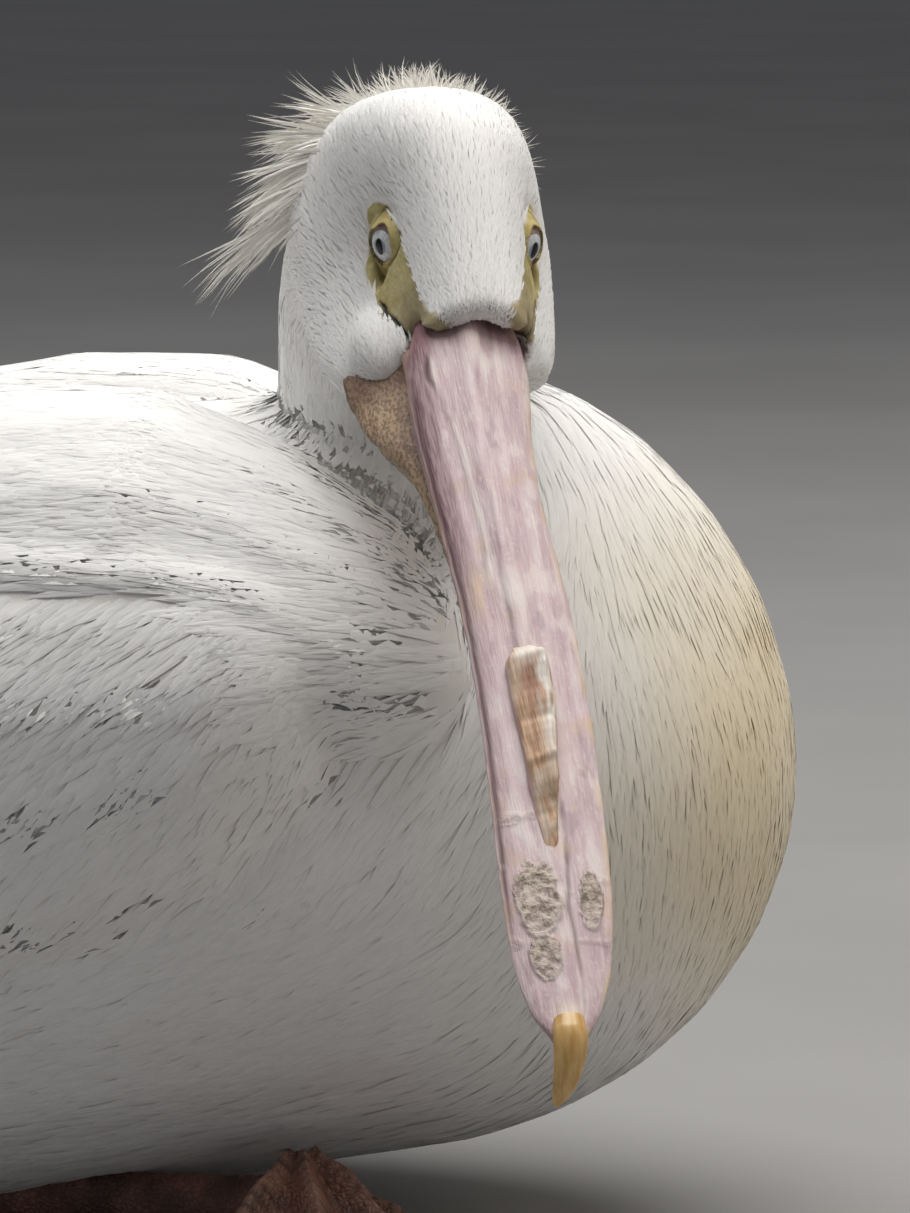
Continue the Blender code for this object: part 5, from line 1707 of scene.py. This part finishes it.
def make_ridge():
    """The worn stub of the horn: a narrow leaning ridge along the bill's top, with a ragged edge."""
    first, last = RIDGE_SPAN
    share = np.linspace(first, last, 190)[:, None]
    t = (share - first) / (last - first)
    swell = (ease(-0.03, 0.14, t) * ease(1.06, 0.72, t)) ** 0.7
    culmen = along(UPPER_BILL, share[:, 0])[1][:, None]
    turn = circle(56)[None]
    up = np.sin(turn)
    line = np.concatenate([share * 0.15, share * 0, share * 0], 1)
    ragged = noise(line, 4 * MM, 51)[:, None] + 0.25 * noise(line, 1.4 * MM, 54)[:, None]
    knob = bump(t, 0.07, 0.06)
    wide = RIDGE_HALF_WIDTH * (1.05 - 0.60 * ease(0.25, 1.0, t)) * (0.45 + 0.55 * swell)
    width = wide * np.cos(turn) * (1 - 0.68 * np.maximum(up, 0))
    height = RIDGE_HEIGHT * swell * (0.80 + 0.16 * ragged - 0.30 * ease(0.45, 0.8, t) + 0.2 * knob)
    lean = 0.0040 * swell * up * (1 - 0.5 * t)
    rings = bill_points(share, -0.0006 + width + lean, GAPE_Z + culmen * 0.6 + height * 0.5 * (1 + up))
    rough = grain(rings, 1.5 * MM, 52, (0.15, 1, 1))
    lumps = grain(rings, 3.0 * MM, 53, (0.45, 1, 1))
    rings[..., 1] += (0.30 * rough + 0.35 * lumps) * MM
    rings[..., 2] += (0.30 * rough + 0.40 * lumps) * MM * np.maximum(up, 0)
    right = np.cos(turn)
    crest = ease(0.50, 0.90, up + 0.35 * right + 0.30 * rough) * ease(0.75, 0.35, t)
    pale = np.maximum(crest, knob * ease(-0.2, 0.4, up)) + 0.35 * ease(0.2, 0.7, lumps) * ease(0.45, 0.7, t)
    # Painted shade on the stub's side, below the crest.
    brown_shade = 0.8 * bump(up + 0.4 * right, 0.25, 0.35) * ease(0.04, 0.12, t) * ease(0.42, 0.22, t)
    foot = ease(0.10, -0.35, up) * (0.6 + 0.4 * ease(0.6, 1.0, t))
    marks = {"pale": pale, "brown_shade": brown_shade, "foot": foot}
    ringed_piece("bill_ridge_stub", rings, marks, ridge_finish(), "bill_ridge_horn", "bill_ridge")


NAIL_HALF_WIDTH = 0.0050
NAIL_THICKNESS = 0.0036
NAIL_START = 0.978
NAIL_LYING = 0.5
NAIL_REACH = 0.0140
NAIL_DROP = 0.0155
NAIL_HOOK = -0.0042  # how far its point turns to the bird's right


def make_nail():
    """The nail lies on the bill's tip, then hooks down past it along a quarter of an arc."""
    t = np.linspace(0, 1, 70)[:, None]
    share = NAIL_START + (1 - NAIL_START) * np.minimum(1.0, t / NAIL_LYING)
    past = np.maximum(0.0, (t - NAIL_LYING) / (1 - NAIL_LYING))
    centre = bill_points(share[:, 0], 0.0, GAPE_Z + 0.0022)[:, None]
    turn = circle(36)[None]
    half = NAIL_HALF_WIDTH * (0.85 + 0.3 * t) * (1 - 0.58 * past**1.6) * np.sqrt(1 - 0.98 * past**7)
    half = half * np.minimum(1, 0.25 + 5 * t)
    thick = NAIL_THICKNESS * (1 - 0.75 * past) * np.minimum(1, 0.3 + 4 * t)
    lean = past * math.pi / 2.6
    out = thick * np.sin(turn)
    x = centre[..., 0] + NAIL_REACH * np.sin(past * math.pi / 2.3) + out * np.sin(lean)
    y = centre[..., 1] + half * np.cos(turn) + NAIL_HOOK * past**2
    z = centre[..., 2] - NAIL_DROP * (1 - np.cos(past * math.pi / 2)) ** 0.9 + out * np.cos(lean)
    ringed_piece("nail_hook", np.stack([x, y, z], -1), {}, nail_finish(), "nail_horn", "bill_nail")


# ---------------------------------------------------------------- eyes


def make_eye(side, sign, finish):
    """An eyeball round its gaze: a sphere with a slight bulge where the clear front is."""
    out, down, across, centre = eye_frame(sign, GAZE_FORWARD[sign], GAZE_UP)
    polar = math.pi * np.linspace(0, 1, 92)[1:-1][:, None] ** 1.4
    turn = circle(72)[None]
    radius = EYE_RADIUS * (1 + 0.02 * bump(polar, 0, 0.55)) * behind_lids(polar)
    s = np.sin(polar) * np.cos(turn)
    t = np.sin(polar) * np.sin(turn)
    way = np.cos(polar)[..., None] * out + s[..., None] * across + t[..., None] * down
    rings = centre + way * radius[..., None]
    mesh = tube_mesh(f"eye_{side}_ball", from_head(rings))
    reach = EYE_RADIUS / MM * polar + 0 * turn
    oval = np.hypot(s / 0.72, t / 1.20) * EYE_RADIUS / MM
    set_number(mesh, "reach", np.concatenate([reach.ravel(), [0, 27]]))
    set_number(mesh, "around", np.concatenate([(turn + 0 * polar).ravel(), [0, 0]]))
    front = (np.cos(polar) > 0) + 0 * turn
    set_number(mesh, "pupil", np.concatenate([(ease(2.35, 2.05, oval) * front).ravel(), [1, 0]]))
    add_piece(f"eyeball_{side}", mesh, finish, "eye", f"eye_{side}")


# ---------------------------------------------------------------- feet

#       side   sign  toe joint x, y    hock x, y         turn of the foot outwards
LEGS = (
    ("right", -1, (0.186, 0.084), (0.074, 0.055), math.radians(64.0)),
    ("left", 1, (0.085, 0.086), (-0.022, 0.058), math.radians(50.0)),
)
SHANK_HEIGHT = 0.013
SHANK = ((0.0, 0.0125), (0.2, 0.0100), (0.55, 0.0085), (0.85, 0.0110), (1.0, 0.0125), (1.08, 0.0090))
TOE_TURNS = [math.radians(a) for a in (-40.0, -7.0, 27.0, 72.0)]
TOE_REACH = (0.098, 0.112, 0.086, 0.050)
TOES = np.array([TOE_TURNS, TOE_REACH]).T
TOE_HEIGHT = 0.0085
TOE_HALF_WIDTH = 0.0055
WEB_THICKNESS = 0.0025
WEB_DIP = 0.20
ANKLE_HEIGHT = 0.034
CLAW_LENGTH = 0.013
CLAW_RADIUS = 0.0032
CLAW_OVERLAP = 0.002
CLAW_Z = (0.0046, 0.0008)


def make_foot(side, sign, joint, turn, finish):
    """A webbed foot in polar steps round its joint: a thin web ridged by the toes."""
    angle = np.linspace(TOES[0, 0] - 0.06, TOES[-1, 0] + 0.06, 190)[:, None]
    share = np.linspace(0.10, 1, 90)[None]
    inner = np.clip(angle, TOES[0, 0], TOES[-1, 0])
    span = np.clip(np.searchsorted(TOES[:, 0], inner[:, 0], side="right") - 1, 0, 2)
    t = ((inner[:, 0] - TOES[span, 0]) / (TOES[span + 1, 0] - TOES[span, 0]))[:, None]
    reach = TOES[span, 1][:, None] * (1 - t) + TOES[span + 1, 1][:, None] * t
    reach = reach * (1 - WEB_DIP * np.sin(math.pi * t))
    radius = reach * share
    offset = radius[..., None] * (angle[..., None] - TOES[:, 0])
    ridge = np.exp(-((offset / TOE_HALF_WIDTH) ** 2)).max(-1)
    rise = (ANKLE_HEIGHT - WEB_THICKNESS) * (1 - share) ** 1.5
    knuckle = 1 + 0.16 * np.cos(share * 3.2 * 2 * math.pi)
    height = WEB_THICKNESS + rise + TOE_HEIGHT * ridge * (0.9 - 0.35 * share) * knuckle
    out = turn - angle
    x = joint[0] + radius * np.cos(out)
    y = sign * (joint[1] + radius * np.sin(out))
    flat = rows_of(x, y, 0).reshape(-1, 3)
    polar = rows_of(radius * 0.25, angle * 0.06, 0).reshape(-1, 3)
    folds = noise(polar, 2.2 * MM, 61).reshape(x.shape)
    scutes = np.abs(np.sin(radius / (2.4 * MM) * math.pi / 2)) ** 0.5
    height = height + (0.7 * folds * (1 - ridge) - 0.5 * (1 - scutes) * ridge) * MM
    rim = np.minimum((1 - share) * 25 + 0.35, 1)
    height = np.maximum(height * rim, 0.9 * MM)
    over = np.stack([x, y, height], -1).reshape(-1, 3)
    mesh = build_mesh(f"foot_{side}_web", np.concatenate([over, flat]), [slab_faces(*x.shape)])
    turn_outwards(mesh)
    worn = 0.5 * ridge * ease(0.55, 1.0, scutes + 0.3 * folds)
    set_number(mesh, "worn", np.concatenate([worn.ravel(), 0 * worn.ravel()]))
    add_piece(f"foot_{side}_web", mesh, finish, "foot_skin", f"foot_{side}")


def make_shank(side, sign, joint, hock, finish):
    """The shank from the toe joint back to the hock, resting on the floor, with ringed scales."""
    start = np.array([joint[0], sign * joint[1], SHANK_HEIGHT])
    end = np.array([hock[0], sign * hock[1], SHANK_HEIGHT])
    share = np.linspace(SHANK[0][0], SHANK[-1][0], 110)
    radius = along(SHANK, share)[0][:, None]
    across = unit(np.cross(end - start, np.array([0.0, 0.0, 1.0])))
    turn = circle(40)[None]
    rounding = np.minimum(1, np.minimum(share * 30 + 0.3, (SHANK[-1][0] - share) * 12 + 0.25))[:, None]
    scute = 1 - 0.05 * np.abs(np.cos(share * 70))[:, None] * np.maximum(np.sin(turn), 0)
    radius = radius * rounding * scute
    centre = start + (end - start) * share[:, None]
    rings = centre[:, None] + across * (radius * np.cos(turn))[..., None]
    rings[..., 2] = np.maximum(0.0, centre[:, None, 2] + radius * 1.12 * np.sin(turn))
    mesh = tube_mesh(f"leg_{side}_shank", rings)
    set_number(mesh, "worn", np.zeros(len(mesh.vertices)))
    add_piece(f"leg_{side}_shank", mesh, finish, "foot_skin", f"leg_{side}")


def make_claws(side, sign, joint, turn, finish):
    """Each claw is a cone that curves down to the floor and ends in a rounded point."""
    for toe, (angle, length) in enumerate(TOES, 1):
        ahead = np.array([math.cos(turn - angle), sign * math.sin(turn - angle), 0.0])
        across = np.array([-ahead[1], ahead[0], 0.0])
        t = np.linspace(0, 1, 26)[:, None]
        a = circle(20)[None]
        radius = CLAW_RADIUS * (1 - 0.92 * t**1.3) * np.minimum(1, 0.4 + 6 * t)
        reach = length - CLAW_OVERLAP + CLAW_LENGTH * t
        centre = np.array([joint[0], sign * joint[1], 0.0]) + ahead * reach
        centre[:, 2] += (CLAW_Z[0] + (CLAW_Z[1] - CLAW_Z[0]) * t**2)[:, 0]
        rings = centre[:, None] + across * (radius * np.cos(a))[..., None]
        rings[..., 2] = np.maximum(0.0002, rings[..., 2] + radius * np.sin(a))
        node = f"claw_{side}_{toe}"
        add_piece(f"{node}_horn", tube_mesh(f"{node}_horn", rings), finish, "claw_horn", node)


# ---------------------------------------------------------------- stage

CAMERA_AZIMUTH = math.radians(10.0)
CAMERA_ELEVATION = math.radians(7.0)
CAMERA_DISTANCE = 2.40
CAMERA_LENS = 227.9
LOOK_BELOW_EYES = 0.1136  # the view's middle lies this far below the eyes
LOOK_BESIDE_EYES = 0.0003


def make_camera():
    """The camera: in front of the bird and a little to its right."""
    a, e = CAMERA_AZIMUTH, CAMERA_ELEVATION
    right = Vector((math.cos(a), math.sin(a), 0))
    ahead = Vector((-math.sin(a) * math.cos(e), math.cos(a) * math.cos(e), -math.sin(e)))
    up = right.cross(ahead)
    target = Vector(HEAD_AT) - up * LOOK_BELOW_EYES - right * LOOK_BESIDE_EYES
    place = target - ahead * CAMERA_DISTANCE
    data = bpy.data.cameras.new("camera")
    data.lens = CAMERA_LENS
    data.sensor_width = 36
    data.clip_start = 0.1
    data.clip_end = 60
    camera = shown("camera", data)
    axes = Matrix((right, up, -ahead)).transposed().to_4x4()
    camera.matrix_world = Matrix.Translation(place) @ axes
    bpy.context.scene.camera = camera


def make_light(name, place, target, size, power, colour):
    """A round area light that faces its target."""
    data = bpy.data.lights.new(name, "AREA")
    data.shape = "DISK"
    data.size = size
    data.energy = power
    data.color = hex_colour(colour)[:3]
    light = shown(name, data)
    aim = Vector(target) - Vector(place)
    turned = aim.to_track_quat("-Z", "Y").to_matrix().to_4x4()
    light.matrix_world = Matrix.Translation(place) @ turned


def make_stage():
    """A pale grey floor, a soft light high up, a weaker one from the front and an even sky."""
    finish, tree, shader = new_finish("studio_floor", Roughness=0.9)
    place = object_place(tree)
    grain = clouds(tree, place, 3.0, 4.0)
    coloured(tree, shader, mixed(tree, ranged(tree, grain, 0.3, 0.7), "908F8E", "969594"))
    turn = circle(96)
    ring = np.stack([np.cos(turn), np.sin(turn), 0 * turn], -1) * 30.0
    mesh = build_mesh("floor", ring, [np.arange(96)[None]])
    floor = shown("floor", mesh)
    floor.location.z = -0.0002
    mesh.materials.append(finish)
    world = bpy.data.worlds.new("studio")
    bpy.context.scene.world = world
    world.use_nodes = True
    sky = world.node_tree.nodes["Background"]
    sky.inputs[0].default_value = hex_colour("E9EBF1")
    sky.inputs[1].default_value = 0.20
    make_light("high_soft", (0.25, 0.40, 2.6), (0.10, 0.0, 0.2), 2.8, 92.0, "FFFDFA")
    make_light("front_soft", (2.0, -0.2, 1.1), (0.2, 0.0, 0.2), 1.2, 5.0, "FFF0D8")
    bpy.context.scene.view_settings.view_transform = "Standard"


# ---------------------------------------------------------------- making

WING_FINISH = plume_finish("wing_plumes")
SCAPULAR_FINISH = plume_finish("scapular_plumes", barb=0.4)
BLACK_FINISH = plume_finish("black_flight_feathers", "2E2927", barb=0.4)

BILL_FINISH = bill_finish()
make_upper_bill()
make_lower_bill()
make_pouch()
make_ridge()
make_nail()
SKIN = make_skin()
eye = eye_finish()
make_eye("right", -1, eye)
make_eye("left", 1, eye)
coat_all()
for side in SIDES:
    make_flight_feathers(side)
make_tail()
coat_tail()
make_crest()
foot, claw = foot_finish(), claw_finish()
for side, sign, joint, hock, turn in LEGS:
    make_foot(side, sign, joint, turn, foot)
    make_shank(side, sign, joint, hock, foot)
    make_claws(side, sign, joint, turn, claw)
for form in (BODY, NECK, TAIL, *SCAPULARS.values(), *WINGS.values()):
    bpy.data.objects.remove(form)
make_camera()
make_stage()
